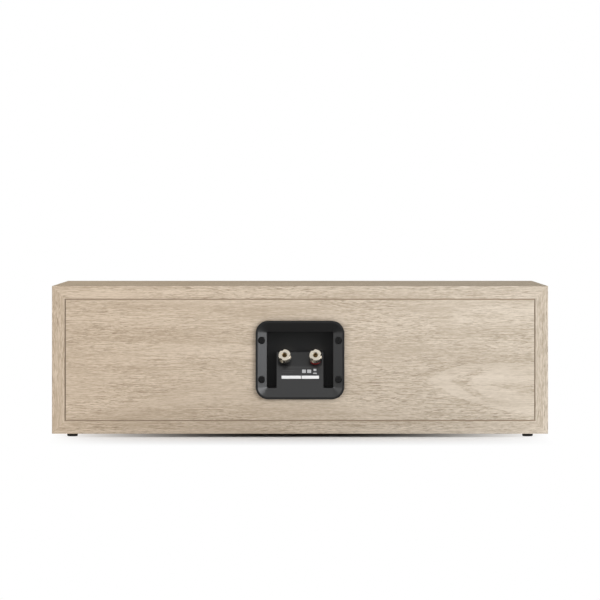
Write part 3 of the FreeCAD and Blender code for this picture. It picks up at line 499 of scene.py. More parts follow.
def oak_material(name, grain, shift, flame=False):
    """Pale oak: wandering bands, streaks, fine fibre and short dark pores along the grain, with painted light
    that leaves it cooler and paler towards minus X and warmer and darker towards plus X.
    """
    oak = settings("oak")
    material, tree, shader = new_material(name)
    place = object_place(tree)
    turned = add_node(tree, "ShaderNodeMapping", {"Vector": place, "Location": shift, "Rotation": grain})
    along = turned.outputs["Vector"]
    swell = compute(tree, "SUBTRACT", cloud(tree, along, *OAK_SWAY), 0.5)
    sway = compute(tree, "MULTIPLY", swell, oak.sway)
    offset = add_node(tree, "ShaderNodeCombineXYZ", {"Y": sway, "Z": sway}).outputs["Vector"]
    line = add_node(tree, "ShaderNodeVectorMath", {0: along, 1: offset}, operation="ADD").outputs["Vector"]
    streaks = cloud(tree, line, *OAK_STREAKS)
    fibre = cloud(tree, line, *OAK_FIBRE)
    patches = ease(tree, cloud(tree, line, *OAK_PATCHES), *PATCH_STEP)
    pores = ease(tree, cloud(tree, line, *OAK_PORES), *PORE_STEP)
    pores = compute(tree, "MULTIPLY", pores, patches)
    fine = compute(tree, "SUBTRACT", compute(tree, "ADD", streaks, fibre), 1.0)
    fine = compute(tree, "MULTIPLY", fine, compute(tree, "MULTIPLY_ADD", patches, FINE_GAIN, FINE_LEAST))
    tone = compute(tree, "MULTIPLY", cloud(tree, line, *OAK_BANDS), oak.band_weight)
    if flame:
        mask = flame_mask(tree, place)
        calm = ease(tree, mask, 0.0, 1.0, 1.0, FLAME_CALM)
        fine = compute(tree, "MULTIPLY", fine, calm)
        pores = compute(tree, "MULTIPLY", pores, calm)
        tone = compute(tree, "MULTIPLY_ADD", mask, -FLAME_LIFT, tone)
    tone = compute(tree, "MULTIPLY_ADD", fine, oak.fine_weight, tone)
    wood = tint(tree, ease(tree, tone, *TONE_STEP), oak.pale, oak.warm)
    wood = tint(tree, compute(tree, "MULTIPLY", pores, oak.pore_share), wood, oak.pore)
    # Painted light: the wood is tinted cooler and paler towards minus X, where the key light falls, and
    # warmer and darker towards plus X
    end = ease(tree, split(tree, place)["X"], CAD_LOW.x, CAD_HIGH.x)
    painted_light_tint = tint(tree, end, oak.right_cast, oak.left_cast)
    wood_with_painted_light = add_node(tree, "ShaderNodeMix", {0: 1.0, 6: wood, 7: painted_light_tint},
                       data_type="RGBA", blend_type="MULTIPLY")
    tree.links.new(wood_with_painted_light.outputs[2], shader.inputs["Base Color"])
    tree.links.new(ease(tree, fibre, *OAK_GLOSS), shader.inputs["Roughness"])
    shader.inputs["Specular IOR Level"].default_value = OAK_SPECULAR
    raise_bump(tree, shader, compute(tree, "SUBTRACT", 1.0, pores), oak.relief, strength=0.5)
    return material


def darker(tone, part):
    """A share of a colour."""
    return tuple(part * value for value in tone)


def grained_material(name, tone, roughness, grain=1800.0, relief=0.00003, specular=0.5):
    """Moulded or painted surface with a fine even grain."""
    material, tree, shader = new_material(name)
    place = object_place(tree)
    specks = cloud(tree, place, grain)
    drift = cloud(tree, place, GRAIN_DRIFT)
    tree.links.new(tint(tree, drift, tone, darker(tone, GRAIN_DARK)), shader.inputs["Base Color"])
    gloss = ease(tree, specks, *MARK_STEP, roughness - GRAIN_GLOSS, roughness + GRAIN_GLOSS)
    tree.links.new(gloss, shader.inputs["Roughness"])
    shader.inputs["Specular IOR Level"].default_value = specular
    raise_bump(tree, shader, specks, relief, strength=0.6)
    return material


def metal_material(name, tone, roughness, lines=900.0):
    """Bare metal with faint tool marks and slow changes of tone."""
    material, tree, shader = new_material(name)
    place = object_place(tree)
    marks = cloud(tree, place, lines, detail=3.0)
    drift = cloud(tree, place, METAL_DRIFT, detail=1.0)
    tree.links.new(tint(tree, drift, tone, darker(tone, METAL_DARK)), shader.inputs["Base Color"])
    gloss = ease(tree, marks, *MARK_STEP, roughness - METAL_GLOSS_BELOW, roughness + METAL_GLOSS_ABOVE)
    tree.links.new(gloss, shader.inputs["Roughness"])
    shader.inputs["Metallic"].default_value = 1.0
    raise_bump(tree, shader, marks, METAL_RELIEF, strength=0.4)
    return material


def fibre_material(name, tone, scale, relief, roughness=0.85):
    """Paper, cloth or wadding: crossed fibres with soft relief."""
    material, tree, shader = new_material(name)
    place = object_place(tree)
    lengthwise = (scale, scale * FIBRE_STRETCH, scale)
    crosswise = (scale * FIBRE_CROSS_STRETCH, scale, scale * FIBRE_CROSS_STRETCH)
    first = cloud(tree, place, lengthwise, detail=3.0, rough=0.6)
    second = cloud(tree, place, crosswise, detail=3.0, rough=0.6)
    felt = compute(tree, "MULTIPLY", compute(tree, "ADD", first, second), 0.5)
    shade = tint(tree, ease(tree, felt, *FELT_STEP), darker(tone, FIBRE_DARK), tone)
    tree.links.new(shade, shader.inputs["Base Color"])
    shader.inputs["Roughness"].default_value = roughness
    shader.inputs["Specular IOR Level"].default_value = FIBRE_SPECULAR
    raise_bump(tree, shader, felt, relief, strength=0.8)
    return material


# Mesh helpers


def linked(name, data):
    """A new object in the scene."""
    made = bpy.data.objects.new(name, data)
    bpy.context.scene.collection.objects.link(made)
    return made


def evaluated_mesh(carrier):
    """The plain mesh of an object with its modifiers applied."""
    bpy.context.view_layer.update()
    return bpy.data.meshes.new_from_object(carrier.evaluated_get(bpy.context.evaluated_depsgraph_get()))


def set_materials(mesh, *materials):
    """Gives a mesh these materials and no others."""
    mesh.materials.clear()
    for material in materials:
        mesh.materials.append(material)


def finished(mesh, material=None, smooth_degrees=SMOOTH_ANGLE):
    """Gives a mesh its material and smooth shading that keeps corners sharp and large faces flat."""
    if material is not None:
        set_materials(mesh, material)
    mesh.polygons.foreach_set("use_smooth", [True] * len(mesh.polygons))
    mesh.set_sharp_from_angle(angle=math.radians(smooth_degrees))
    name = mesh.name
    carrier = linked(name + "_carrier", mesh)
    weighted = carrier.modifiers.new("Weighted", "WEIGHTED_NORMAL")
    weighted.keep_sharp = True
    weighted.weight = FLAT_FACE_WEIGHT
    shaded = evaluated_mesh(carrier)
    bpy.data.objects.remove(carrier)
    bpy.data.meshes.remove(mesh)
    shaded.name = name
    return shaded


def mesh_from(work, name):
    """A named mesh from a bmesh, which is freed."""
    mesh = bpy.data.meshes.new(name)
    work.to_mesh(mesh)
    work.free()
    custom = mesh.attributes.get("custom_normal")
    if custom is not None:
        mesh.attributes.remove(custom)
    return mesh


def add_piece(name, mesh, body, replaced=()):
    """Puts a mesh in the scene as a piece that moves with a body."""
    piece = linked(name, mesh)
    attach(piece, body)
    if replaced:
        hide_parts(*replaced)
    return piece


def add_ring(name, mesh, node):
    """Puts a round piece in the scene, tied to no body, and hides the solid it replaces."""
    piece = linked(name, mesh)
    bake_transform(piece)
    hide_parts(node)


def paint(node, material):
    """Gives a solid of the frame its finish."""
    set_materials(frame["nodes"][node].data, material)


def joined_copy(node):
    """A bmesh of a solid with its triangles joined into whole faces."""
    work = bmesh.new()
    work.from_mesh(frame["nodes"][node].data)
    bmesh.ops.remove_doubles(work, verts=work.verts, dist=TINY)
    bmesh.ops.dissolve_limit(work, angle_limit=math.radians(FLAT_ANGLE), verts=work.verts, edges=work.edges)
    return work


def sharp(edge, degrees=SHARP_ANGLE):
    """Whether an edge's two faces meet at more than an angle."""
    return edge.calc_face_angle() > math.radians(degrees)


def round_edges(work, radius, wanted):
    """Rounds the edges of a bmesh that pass a test."""
    edges = [edge for edge in work.edges if len(edge.link_faces) == 2 and wanted(edge)]
    bmesh.ops.bevel(work, geom=edges, offset=radius, segments=2, profile=0.5,
                    affect="EDGES", clamp_overlap=True)


def filleted(corners, steps=5):
    """Points of a closed outline of (x, y, radius) corners, each rounded to its radius."""
    points = []
    for index, (x, y, radius) in enumerate(corners):
        here = Vector((x, y))
        if radius == 0:
            points.append(here)
            continue
        back = (Vector(corners[index - 1][:2]) - here).normalized()
        onward = (Vector(corners[(index + 1) % len(corners)][:2]) - here).normalized()
        half = back.angle(onward) / 2
        centre = here + (back + onward).normalized() * (radius / math.sin(half))
        start = here + back * (radius / math.tan(half)) - centre
        end = here + onward * (radius / math.tan(half)) - centre
        points += [centre + start.slerp(end, step / steps).normalized() * radius for step in range(steps + 1)]
    return points


def arc(centre, radii, first, last, steps):
    """Points on an ellipse's arc, from one angle to another in degrees."""
    points = []
    for step in range(steps + 1):
        angle = math.radians(first + (last - first) * step / steps)
        x = centre[0] + radii[0] * math.cos(angle)
        y = centre[1] + radii[1] * math.sin(angle)
        points.append(Vector((x, y)))
    return points


def thickened(face, wall):
    """The closed outline of a thin wall behind a line of (radius, y) points."""
    return face + [(radius, y + wall) for radius, y in reversed(face)]


def turned_mesh(name, outline, axis_x, axis_z, segments):
    """A closed outline of (radius, y) turned about a line along Y."""
    work = bmesh.new()
    rings = []
    for radius, y in outline:
        if radius < TINY:
            rings.append([work.verts.new((axis_x, y, axis_z))] * segments)
            continue
        ring = []
        for step in range(segments):
            angle = 2 * math.pi * step / segments
            place = (axis_x + radius * math.cos(angle), y, axis_z + radius * math.sin(angle))
            ring.append(work.verts.new(place))
        rings.append(ring)
    for ring, after in zip(rings, rings[1:] + rings[:1]):
        for step in range(segments):
            beyond = (step + 1) % segments
            corners = list(dict.fromkeys((ring[step], ring[beyond], after[beyond], after[step])))
            if len(corners) > 2:
                work.faces.new(corners)
    bmesh.ops.recalc_face_normals(work, faces=work.faces)
    return mesh_from(work, name)


def driver_mesh(name, outline, x, material, smooth_degrees=SMOOTH_ANGLE):
    """A round piece of a driver, turned about the driver's axis."""
    segments = settings("drivers").segments
    return finished(turned_mesh(name, outline, x, MIDDLE_Z, segments), material, smooth_degrees)


def middle_x(node):
    """Middle of a solid along X."""
    low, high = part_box(node)
    return (low.x + high.x) / 2


def half_width(node):
    """Half of a solid's width along X."""
    low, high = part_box(node)
    return (high.x - low.x) / 2


# Patterns of like pieces


def pattern_tree(name, points_kind):
    """A tree that copies its geometry to the points of a grid or a ring, as one mesh."""
    tree = bpy.data.node_groups.new(name, "GeometryNodeTree")
    for socket_name, kind in PATTERN_INPUTS + PATTERN_SIZES[points_kind]:
        tree.interface.new_socket(socket_name, in_out="INPUT", socket_type=kind)
    tree.interface.new_socket("Geometry", in_out="OUTPUT", socket_type="NodeSocketGeometry")
    given = tree.nodes.new("NodeGroupInput").outputs
    sizes = {socket_name: given[socket_name] for socket_name, kind in PATTERN_SIZES[points_kind]}
    points = add_node(tree, points_kind, sizes).outputs["Mesh"]
    placing = {"Geometry": points, "Translation": given["Centre"], "Rotation": given["Turn"]}
    placed = add_node(tree, "GeometryNodeTransform", placing).outputs["Geometry"]
    copying = {"Points": placed, "Instance": given["Geometry"]}
    copies = add_node(tree, "GeometryNodeInstanceOnPoints", copying).outputs["Instances"]
    real = add_node(tree, "GeometryNodeRealizeInstances", {"Geometry": copies}).outputs["Geometry"]
    dressing = {"Geometry": real, "Material": given["Material"]}
    dressed = add_node(tree, "GeometryNodeSetMaterial", dressing).outputs["Geometry"]
    add_node(tree, "NodeGroupOutput", {"Geometry": dressed})
    return tree


def patterned_mesh(name, tree, model, **inputs):
    """The plain mesh that a pattern tree makes of one model."""
    carrier = linked(name + "_pattern", model)
    modifier = carrier.modifiers.new("Pattern", "NODES")
    modifier.node_group = tree
    for item in tree.interface.items_tree:
        key = item.name.replace(" ", "_").lower()
        if item.in_out == "INPUT" and key in inputs:
            modifier[item.identifier] = inputs[key]
    mesh = evaluated_mesh(carrier)
    mesh.name = name
    carrier.modifiers.remove(modifier)
    bpy.data.objects.remove(carrier)
    if not mesh.polygons:
        raise RuntimeError("the pattern " + name + " came out empty")
    return mesh


def screw_model(name, head, shank, recess, facing):
    """One screw on the Y axis, its head's seat at the origin, with a cross recess.

    The head and the shank are given as radius and length, the recess as width and depth.
    """
    radius, height = head
    shank_radius, shank_length = shank
    width, depth = recess
    top = facing * height
    tip = -facing * shank_length
    outline = filleted([(0.0, top, 0.0), (radius, top, SCREW_CROWN * height), (radius, 0.0, 0.0),
                        (shank_radius, 0.0, 0.0), (shank_radius, tip, 0.0), (0.0, tip, 0.0)])
    screw = linked(name, turned_mesh(name, outline, 0.0, 0.0, SCREW_SEGMENTS))
    reach = RECESS_REACH * radius
    work = bmesh.new()
    for size in ((reach, depth, width), (width, depth, reach)):
        made = bmesh.ops.create_cube(work, size=1.0)
        bmesh.ops.transform(work, matrix=Matrix.Diagonal((*size, 1.0)), verts=made["verts"])
    bmesh.ops.translate(work, vec=(0.0, top, 0.0), verts=work.verts)
    cross = linked(name + "_cross", mesh_from(work, name + "_cross"))
    cut = screw.modifiers.new("Recess", "BOOLEAN")
    cut.object = cross
    cut.solver = "EXACT"
    cut.use_self = True
    model = evaluated_mesh(screw)
    for made in (screw, cross):
        bpy.data.objects.remove(made)
    return model


# Operators


class SPEAKER_OT_stage(bpy.types.Operator):
    """White floor, soft lights and the camera"""
    bl_idname = "speaker.stage"
    bl_label = "Stage"

    def execute(self, context):
        stage = settings("stage")
        context.scene.view_settings.view_transform = "Standard"
        self.make_world(context, stage)
        self.make_floor(stage)
        for name, place, size, tone in LIGHTS:
            self.make_light(name + "_light", Vector(place), size, getattr(stage, name), tone)
        self.make_camera(context, stage)
        return {"FINISHED"}

    def make_world(self, context, stage):
        """A white surround for the eye and a soft sky for the light."""
        world = bpy.data.worlds.new("studio")
        world.use_nodes = True
        context.scene.world = world
        tree = world.node_tree
        tree.nodes.clear()
        axes = split(tree, add_node(tree, "ShaderNodeTexCoord").outputs["Generated"])
        light = ease(tree, axes["Z"], *SKY_STEP, stage.horizon, stage.sky)
        light = compute(tree, "MULTIPLY", light, ease(tree, axes["Z"], *GROUND_DIM))
        light = compute(tree, "MULTIPLY", light, ease(tree, axes["Y"], *FRONT_DIM))
        soft = add_node(tree, "ShaderNodeBackground", {"Color": WHITE, "Strength": light}).outputs[0]
        white = add_node(tree, "ShaderNodeBackground", {"Color": WHITE, "Strength": 1.0}).outputs[0]
        seen = add_node(tree, "ShaderNodeLightPath").outputs["Is Camera Ray"]
        add_node(tree, "ShaderNodeOutputWorld", {"Surface": mix_shaders(tree, seen, soft, white)})

    def make_floor(self, stage):
        """A wide floor under the feet, white where open, with the cabinet's shadow painted into its material.
        """
        half = stage.floor_size / 2
        corners = [(-half, -half, 0.0), (half, -half, 0.0), (half, half, 0.0), (-half, half, 0.0)]
        mesh = bpy.data.meshes.new("floor")
        mesh.from_pydata(corners, [], [(0, 1, 2, 3)])
        material, tree, shader = new_material("floor_white")
        tree.nodes.remove(shader)
        path = add_node(tree, "ShaderNodeLightPath").outputs
        tone = tint(tree, path["Is Camera Ray"], stage.bounce, stage.floor)
        shaded = add_node(tree, "ShaderNodeBsdfDiffuse", {"Color": tone}).outputs[0]
        strength = ease(tree, path["Is Glossy Ray"], 0.0, 1.0, 1.0, stage.mirrored)
        bright = add_node(tree, "ShaderNodeEmission", {"Strength": strength}).outputs[0]
        surface = mix_shaders(tree, self.openness(tree, stage), shaded, bright)
        tree.links.new(surface, tree.nodes["Material Output"].inputs["Surface"])
        mesh.materials.append(material)
        linked("floor", mesh)

    def openness(self, tree, stage):
        """How free a floor point is of the cabinet's painted shadow, from 0 to 1, worked out from the point's
        place.
        """
        axes = split(tree, object_place(tree))
        along = compute(tree, "DIVIDE", compute(tree, "ABSOLUTE", axes["X"]), stage.shade_half)
        ends = compute(tree, "POWER", compute(tree, "MINIMUM", along, 1.0), stage.shade_power)
        out = compute(tree, "SUBTRACT", compute(tree, "ABSOLUTE", axes["Y"]), REAR_Y)
        sides = compute(tree, "DIVIDE", compute(tree, "MAXIMUM", out, 0.0), stage.shade_reach)
        sides = compute(tree, "MINIMUM", sides, 1.0)
        lengthwise = compute(tree, "SUBTRACT", 1.0, ends)
        shade = compute(tree, "MULTIPLY", lengthwise, compute(tree, "SUBTRACT", 1.0, sides))
        return compute(tree, "SUBTRACT", 1.0, shade)

    def make_light(self, name, place, size, strength, tone):
        """A square soft light of a given brightness, aimed at the rear."""
        lamp = bpy.data.lights.new(name, "AREA")
        lamp.size = size
        lamp.color = tone
        lamp.energy = math.pi * size * size * strength
        light = linked(name, lamp)
        light.location = place
        rear = Vector((0.0, REAR_Y, MIDDLE_Z))
        light.rotation_euler = (rear - place).to_track_quat("-Z", "Y").to_euler()
        light.visible_camera = False

    def make_camera(self, context, stage):
        """A level camera behind the cabinet, with its frame moved down to the object."""
        lens = bpy.data.cameras.new("camera")
        lens.lens = stage.lens
        lens.shift_y = -stage.frame_drop / stage.frame_size
        camera = linked("camera", lens)
        camera.location = (0.0, REAR_Y + stage.camera_distance, TOP_Z + stage.camera_rise)
        camera.rotation_euler = (QUARTER_TURN, 0.0, math.pi)
        context.scene.camera = camera


class SPEAKER_OT_cabinet(bpy.types.Operator):
    """Oak boards with soft edges and a dark groove, and the painted baffle"""
    bl_idname = "speaker.cabinet"
    bl_label = "Cabinet"

    def execute(self, context):
        oak = settings("oak")
        groove = grained_material("oak_groove", oak.groove, roughness=0.8, specular=0.2)
        upright = grained_material("oak_groove_upright", oak.groove_upright, roughness=0.8, specular=0.2)
        for node, grain, shift in BOARDS:
            wood = oak_material("oak_" + node, grain, shift, flame=node == "rear_panel")
            work = joined_copy(node)
            round_edges(work, oak.edge, self.shows)
            mesh = mesh_from(work, node + "_board")
            set_materials(mesh, wood, groove, upright)
            for face in mesh.polygons:
                face.material_index = self.finish_index(face)
            add_piece(node + "_board", finished(mesh), "cabinet", (node,))
        paint("front_baffle", grained_material("baffle_paint", oak.baffle, roughness=0.42, grain=900.0,
                                               relief=0.00004))
        return {"FINISHED"}

    def finish_index(self, face):
        """Slot of a face's finish: 0 for oak, 1 for the groove's level stretches, 2 for its upright ones."""
        normal = face.normal
        sideways = max(abs(normal.x), abs(normal.z))
        slanted = normal.y >= GROOVE_SLOPE and sideways >= GROOVE_SLOPE
        if not slanted or face.center.y < REAR_SKIN_Y:
            return 0
        return 2 if abs(normal.x) > abs(normal.z) else 1

    def shows(self, edge):
        """Whether an edge is an outer one, off the mitres and the groove."""
        normals = [face.normal for face in edge.link_faces]
        slanted = any(sum(abs(part) > MITRE_SLOPE for part in normal) > 1 for normal in normals)
        return sharp(edge, SQUARE_ANGLE) and not slanted


class SPEAKER_OT_terminal_cup(bpy.types.Operator):
    """Moulded cup with softened edges, its gasket and two blank labels"""
    bl_idname = "speaker.terminal_cup"
    bl_label = "Terminal cup"

    def execute(self, context):
        cup = settings("cup")
        work = joined_copy("terminal_cup")
        round_edges(work, cup.edge, self.on_outside)
        mesh = mesh_from(work, "terminal_cup_moulding")
        # A second copy of the plastic with less shine goes on the faces deep in the recess: painted shade
        # that darkens the recess
        plastics = [grained_material(name, cup.plastic, roughness=0.36, grain=2400.0, relief=0.000004,
                                     specular=shine)
                    for name, shine in (("cup_moulding", cup.shine), ("cup_recess", cup.painted_shade_shine))]
        set_materials(mesh, *plastics)
        for face in mesh.polygons:
            deep = all(mesh.vertices[index].co.y < REAR_SKIN_Y for index in face.vertices)
            face.material_index = 1 if deep else 0
        mesh = finished(mesh, smooth_degrees=14.0)
        add_piece("terminal_cup_moulding", mesh, "cabinet", ("terminal_cup",))
        foam = fibre_material("gasket_foam", (0.02, 0.02, 0.02), scale=900.0, relief=0.0001)
        paint("terminal_gasket", foam)
        self.make_labels(cup)
        return {"FINISHED"}

    def on_outside(self, edge):
        """Whether an edge can be seen from behind the cabinet."""
        return sharp(edge) and all(vertex.co.y > REAR_Y for vertex in edge.verts)

    def make_labels(self, cup):
        """Two blank white strips on the ramp, with plain pale fields above them."""
        white = grained_material("label_paper", (0.88, 0.88, 0.87), roughness=0.6, grain=900.0,
                                 relief=0.00001, specular=0.3)
        finishes = {"pale": grained_material("print_pale", (0.52, 0.52, 0.52), roughness=0.5),
                    "faint": grained_material("print_faint", (0.045, 0.045, 0.045), roughness=0.5)}
        for name, middle, width in LABELS:
            self.make_strip(name, white, middle, width, cup.label_drop, cup.label_height, cup.label_thickness)
        for name, finish, middle, width, drop, height in FIELDS:
            self.make_strip(name, finishes[finish], middle, width, drop, height, cup.label_thickness)

    def make_strip(self, name, material, middle, width, drop, height, thickness):
        """A thin plate with round corners that lies on the ramp."""
        sideways = Vector((1.0, 0.0, 0.0))
        upward = POST_AXIS.cross(sideways)
        turn = Matrix((sideways, upward, POST_AXIS)).transposed().to_4x4()
        seat = self.ramp_point(-drop) + sideways * middle + POST_AXIS * (thickness / 2)
        work = bmesh.new()
        bmesh.ops.create_cube(work, size=1.0)
        place = Matrix.Translation(seat) @ turn @ Matrix.Diagonal((width, height, thickness, 1.0))
        bmesh.ops.transform(work, matrix=place, verts=work.verts)
        corners = [edge for edge in work.edges
                   if abs((edge.verts[0].co - edge.verts[1].co).normalized().dot(POST_AXIS)) > ALONG_AXIS]
        bmesh.ops.bevel(work, geom=corners, offset=LABEL_CORNER * height, segments=3, profile=0.5,
                        affect="EDGES")
        add_piece(name, finished(mesh_from(work, name), material), "cabinet")

    def ramp_point(self, height):
        """The ramp's surface in the middle of the cup, at a height above the cup's centre."""
        solid = frame["nodes"]["terminal_cup"].data
        faces = [tuple(face.vertices) for face in solid.polygons]
        surface = BVHTree.FromPolygons([vertex.co for vertex in solid.vertices], faces)
        behind = Vector((0.0, CUP_HIGH.y + MM, MIDDLE_Z + height))
        place = surface.ray_cast(behind, Vector((0.0, -1.0, 0.0)))[0]
        if place is None:
            raise RuntimeError("no ramp under the labels")
        return place


class SPEAKER_OT_posts(bpy.types.Operator):
    """Binding posts: fluted knobs, washers, coloured collars and brass sockets"""
    bl_idname = "speaker.posts"
    bl_label = "Binding posts"

    def execute(self, context):
        posts = settings("posts")
        nickel = metal_material("knob_nickel", posts.nickel, roughness=0.23)
        brass = metal_material("socket_brass", posts.brass, roughness=0.3)
        for pole in POLES:
            work = joined_copy(pole + "_knob")
            round_edges(work, posts.edge, sharp)
            name = pole + "_knob_turned"
            mesh = finished(mesh_from(work, name), nickel, smooth_degrees=40.0)
            add_piece(name, mesh, pole + "_knob", (pole + "_knob",))
            paint(pole + "_washer", nickel)
            paint(pole + "_stud", brass)
            plastic = grained_material(pole + "_collar_plastic", getattr(posts, pole), roughness=0.22,
                                       grain=700.0, relief=0.00001)
            paint(pole + "_collar", plastic)
        paint("terminal_nuts", metal_material("nut_zinc", (0.55, 0.56, 0.58), roughness=0.32))
        paint("solder_tags", metal_material("tag_tin", (0.66, 0.6, 0.5), roughness=0.35))
        return {"FINISHED"}


class SPEAKER_OT_screws(bpy.types.Operator):
    """Black screws with cross recesses in the cup and round the drivers"""
    bl_idname = "speaker.screws"
    bl_label = "Screws"

    def execute(self, context):
        cup = settings("cup")
        drivers = settings("drivers")
        black = grained_material("screw_black", cup.screw, roughness=0.36, grain=1500.0, relief=0.00002,
                                 specular=0.40)
        self.make_cup_screws(cup, black)
        recess = (SMALL_RECESS_WIDTH * cup.recess_width, SMALL_RECESS_DEPTH * cup.recess_depth)
        small = screw_model("driver_screw", (drivers.screw_radius, drivers.screw_height),
                            (drivers.shank_radius, drivers.shank_length), recess, -1)
        ring = pattern_tree("screw ring", RING)
        for name, x, radius in self.rings(drivers):
            mesh = patterned_mesh(name, ring, small, centre=(x, BAFFLE_Y, MIDDLE_Z),
                                  turn=(QUARTER_TURN, QUARTER_TURN / 2, 0.0), material=black,
                                  vertices=drivers.screws, radius=radius)
            add_piece(name, finished(mesh), "cabinet")
        return {"FINISHED"}

    def make_cup_screws(self, cup, black):
        """The four screws at the cup's corners."""
        low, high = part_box("terminal_screws")
        seat = high.y - CUP_SCREW_HEIGHT
        model = screw_model("cup_screw", (CUP_SCREW_RADIUS, CUP_SCREW_HEIGHT),
                            (CUP_SHANK_RADIUS, seat - low.y), (cup.recess_width, cup.recess_depth), 1)
        mesh = patterned_mesh("cup_screws", pattern_tree("screw grid", GRID), model,
                              centre=(0.0, seat, MIDDLE_Z), turn=(QUARTER_TURN, 0.0, 0.0), material=black,
                              size_x=high.x - low.x - 2 * CUP_SCREW_RADIUS,
                              size_y=high.z - low.z - 2 * CUP_SCREW_RADIUS, vertices_x=2, vertices_y=2)
        add_piece("cup_screws", finished(mesh), "cabinet", ("terminal_screws",))

    def rings(self, drivers):
        """Name, place and radius of each driver's ring of screws."""
        rings = [(side + "_woofer_screws", middle_x(side + "_cone"), drivers.woofer_ring) for side in SIDES]
        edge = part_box("tweeter_faceplate")[1].x
        return rings + [("tweeter_screws", 0.0, edge - drivers.tweeter_inset)]


class SPEAKER_OT_feet(bpy.types.Operator):
    """Rubber feet with rounded rims"""
    bl_idname = "speaker.feet"
    bl_label = "Feet"

    def execute(self, context):
        low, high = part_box("rubber_feet")
        height = high.z - low.z
        outline = filleted([(0.0, 0.0, 0.0), (FOOT_RADIUS - FOOT_TAPER, 0.0, FOOT_ROUND),
                            (FOOT_RADIUS, height, 0.0), (0.0, height, 0.0)])
        foot = turned_mesh("foot", outline, 0.0, 0.0, FOOT_SEGMENTS)
        foot.transform(Matrix.Rotation(QUARTER_TURN, 4, "X"))
        rubber = grained_material("foot_rubber", settings("drivers").rubber, roughness=0.6, grain=1600.0,
                                  relief=0.00004, specular=0.35)
        middle = (low + high) / 2
        mesh = patterned_mesh("feet", pattern_tree("foot grid", GRID), foot,
                              centre=(middle.x, middle.y, low.z), turn=(0.0, 0.0, 0.0), material=rubber,
                              size_x=high.x - low.x - 2 * FOOT_RADIUS,
                              size_y=high.y - low.y - 2 * FOOT_RADIUS, vertices_x=2, vertices_y=2)
        add_piece("feet", finished(mesh), "cabinet", ("rubber_feet",))
        return {"FINISHED"}


class SPEAKER_OT_woofers(bpy.types.Operator):
    """Smooth cones, caps, half-roll surrounds and spiders on the painted baskets"""
    bl_idname = "speaker.woofers"
    bl_label = "Woofers"

    def execute(self, context):
        drivers = settings("drivers")
        paper = fibre_material("cone_paper", drivers.cone, scale=700.0, relief=0.00006, roughness=0.62)
        satin = grained_material("cap_satin", drivers.cone, roughness=0.38, grain=1200.0, relief=0.00001)
        rubber = grained_material("surround_rubber", drivers.rubber, roughness=0.46, grain=2200.0,
                                  relief=0.00001, specular=0.4)
        cloth = fibre_material("spider_cloth", (0.42, 0.26, 0.1), scale=1800.0, relief=0.0001)
        paint("woofer_baskets", grained_material("basket_paint", drivers.metal, roughness=0.4, grain=1300.0,
                                                 relief=0.00003))
        for side in SIDES:
            body = side + "_diaphragm"
            x = middle_x(side + "_cone")
            rim = half_width(side + "_cone")
            neck = half_width(side + "_voice_coil")
            self.make_cone(side, body, x, rim, neck, paper)
            self.make_cap(side, body, x, satin)
            self.make_surround(side, body, x, rim, rubber)
            self.make_spider(side, body, x, neck, cloth)
        return {"FINISHED"}

    def make_cone(self, side, body, x, rim, neck, paper):
        """A cone whose wall bows gently forward between rim and neck."""
        low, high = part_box(side + "_cone")
        depth = high.y - CONE_WALL - low.y
        face = []
        for step in range(CONE_STEPS + 1):
            part = step / CONE_STEPS
            bow = CONE_BOW * math.sin(math.pi * part)
            face.append((rim + (neck - rim) * part, low.y + depth * part - bow))
        name = side + "_cone_smooth"
        mesh = driver_mesh(name, thickened(face, CONE_WALL), x, paper)
        add_piece(name, mesh, body, (side + "_cone",))

    def make_cap(self, side, body, x, satin):
        """A shallow round cap over the cone's neck."""
        low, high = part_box(side + "_dust_cap")
        radius = high.x - x
        rise = high.y - low.y
        outer = arc((0.0, high.y), (radius, rise), -90, 0, CAP_STEPS)
        inner = arc((0.0, high.y), (radius - CAP_WALL, rise - CAP_WALL), 0, -90, CAP_STEPS)
        name = side + "_dust_cap_smooth"
        add_piece(name, driver_mesh(name, outer + inner, x, satin), body, (side + "_dust_cap",))

    def make_surround(self, side, body, x, rim, rubber):
        """A half roll that follows the cone at its inner edge and the basket at its outer one."""
        low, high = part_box("woofer_surrounds")
        outer = max(abs(low.x), abs(high.x)) - abs(x)
        inner = rim - ROLL_LAP
        middle = (rim + ROLL_LEDGE) / 2
        half = (ROLL_LEDGE - rim) / 2
        base = BAFFLE_Y + ROLL_SETBACK
        rise = base - low.y
        back = base + ROLL_WALL
        front = [(inner, back), (rim, back)]
        front += arc((middle, base), (half, rise), 180, 360, ROLL_STEPS)[1:]
        front += [(outer, base)]
        rear = [(outer, back), (ROLL_LEDGE - ROLL_WALL, back)]
        rear += arc((middle, back), (half - ROLL_WALL, rise), 360, 180, ROLL_STEPS)[1:-1]
        rear += [(rim, back + ROLL_WALL), (inner, back + ROLL_WALL)]
        name = side + "_surround_roll"
        mesh = driver_mesh(name, front + rear, x, rubber, smooth_degrees=50.0)
        add_ring(name, mesh, "woofer_surrounds")

    def make_spider(self, side, body, x, inner, cloth):
        """A corrugated disc that follows the coil at its inner edge and the basket at its outer one."""
        low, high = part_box("woofer_spiders")
        outer = max(abs(low.x), abs(high.x)) - abs(x)
        depth = high.y - low.y - SPIDER_WALL
        face = []
        for step in range(SPIDER_STEPS + 1):
            part = step / SPIDER_STEPS
            dip = depth * (0.5 - 0.5 * math.cos(2 * math.pi * SPIDER_WAVES * part))
            face.append((inner + (outer - inner) * part, low.y + dip))
        name = side + "_spider_disc"
        mesh = driver_mesh(name, thickened(face, SPIDER_WALL), x, cloth, smooth_degrees=60.0)
        add_ring(name, mesh, "woofer_spiders")


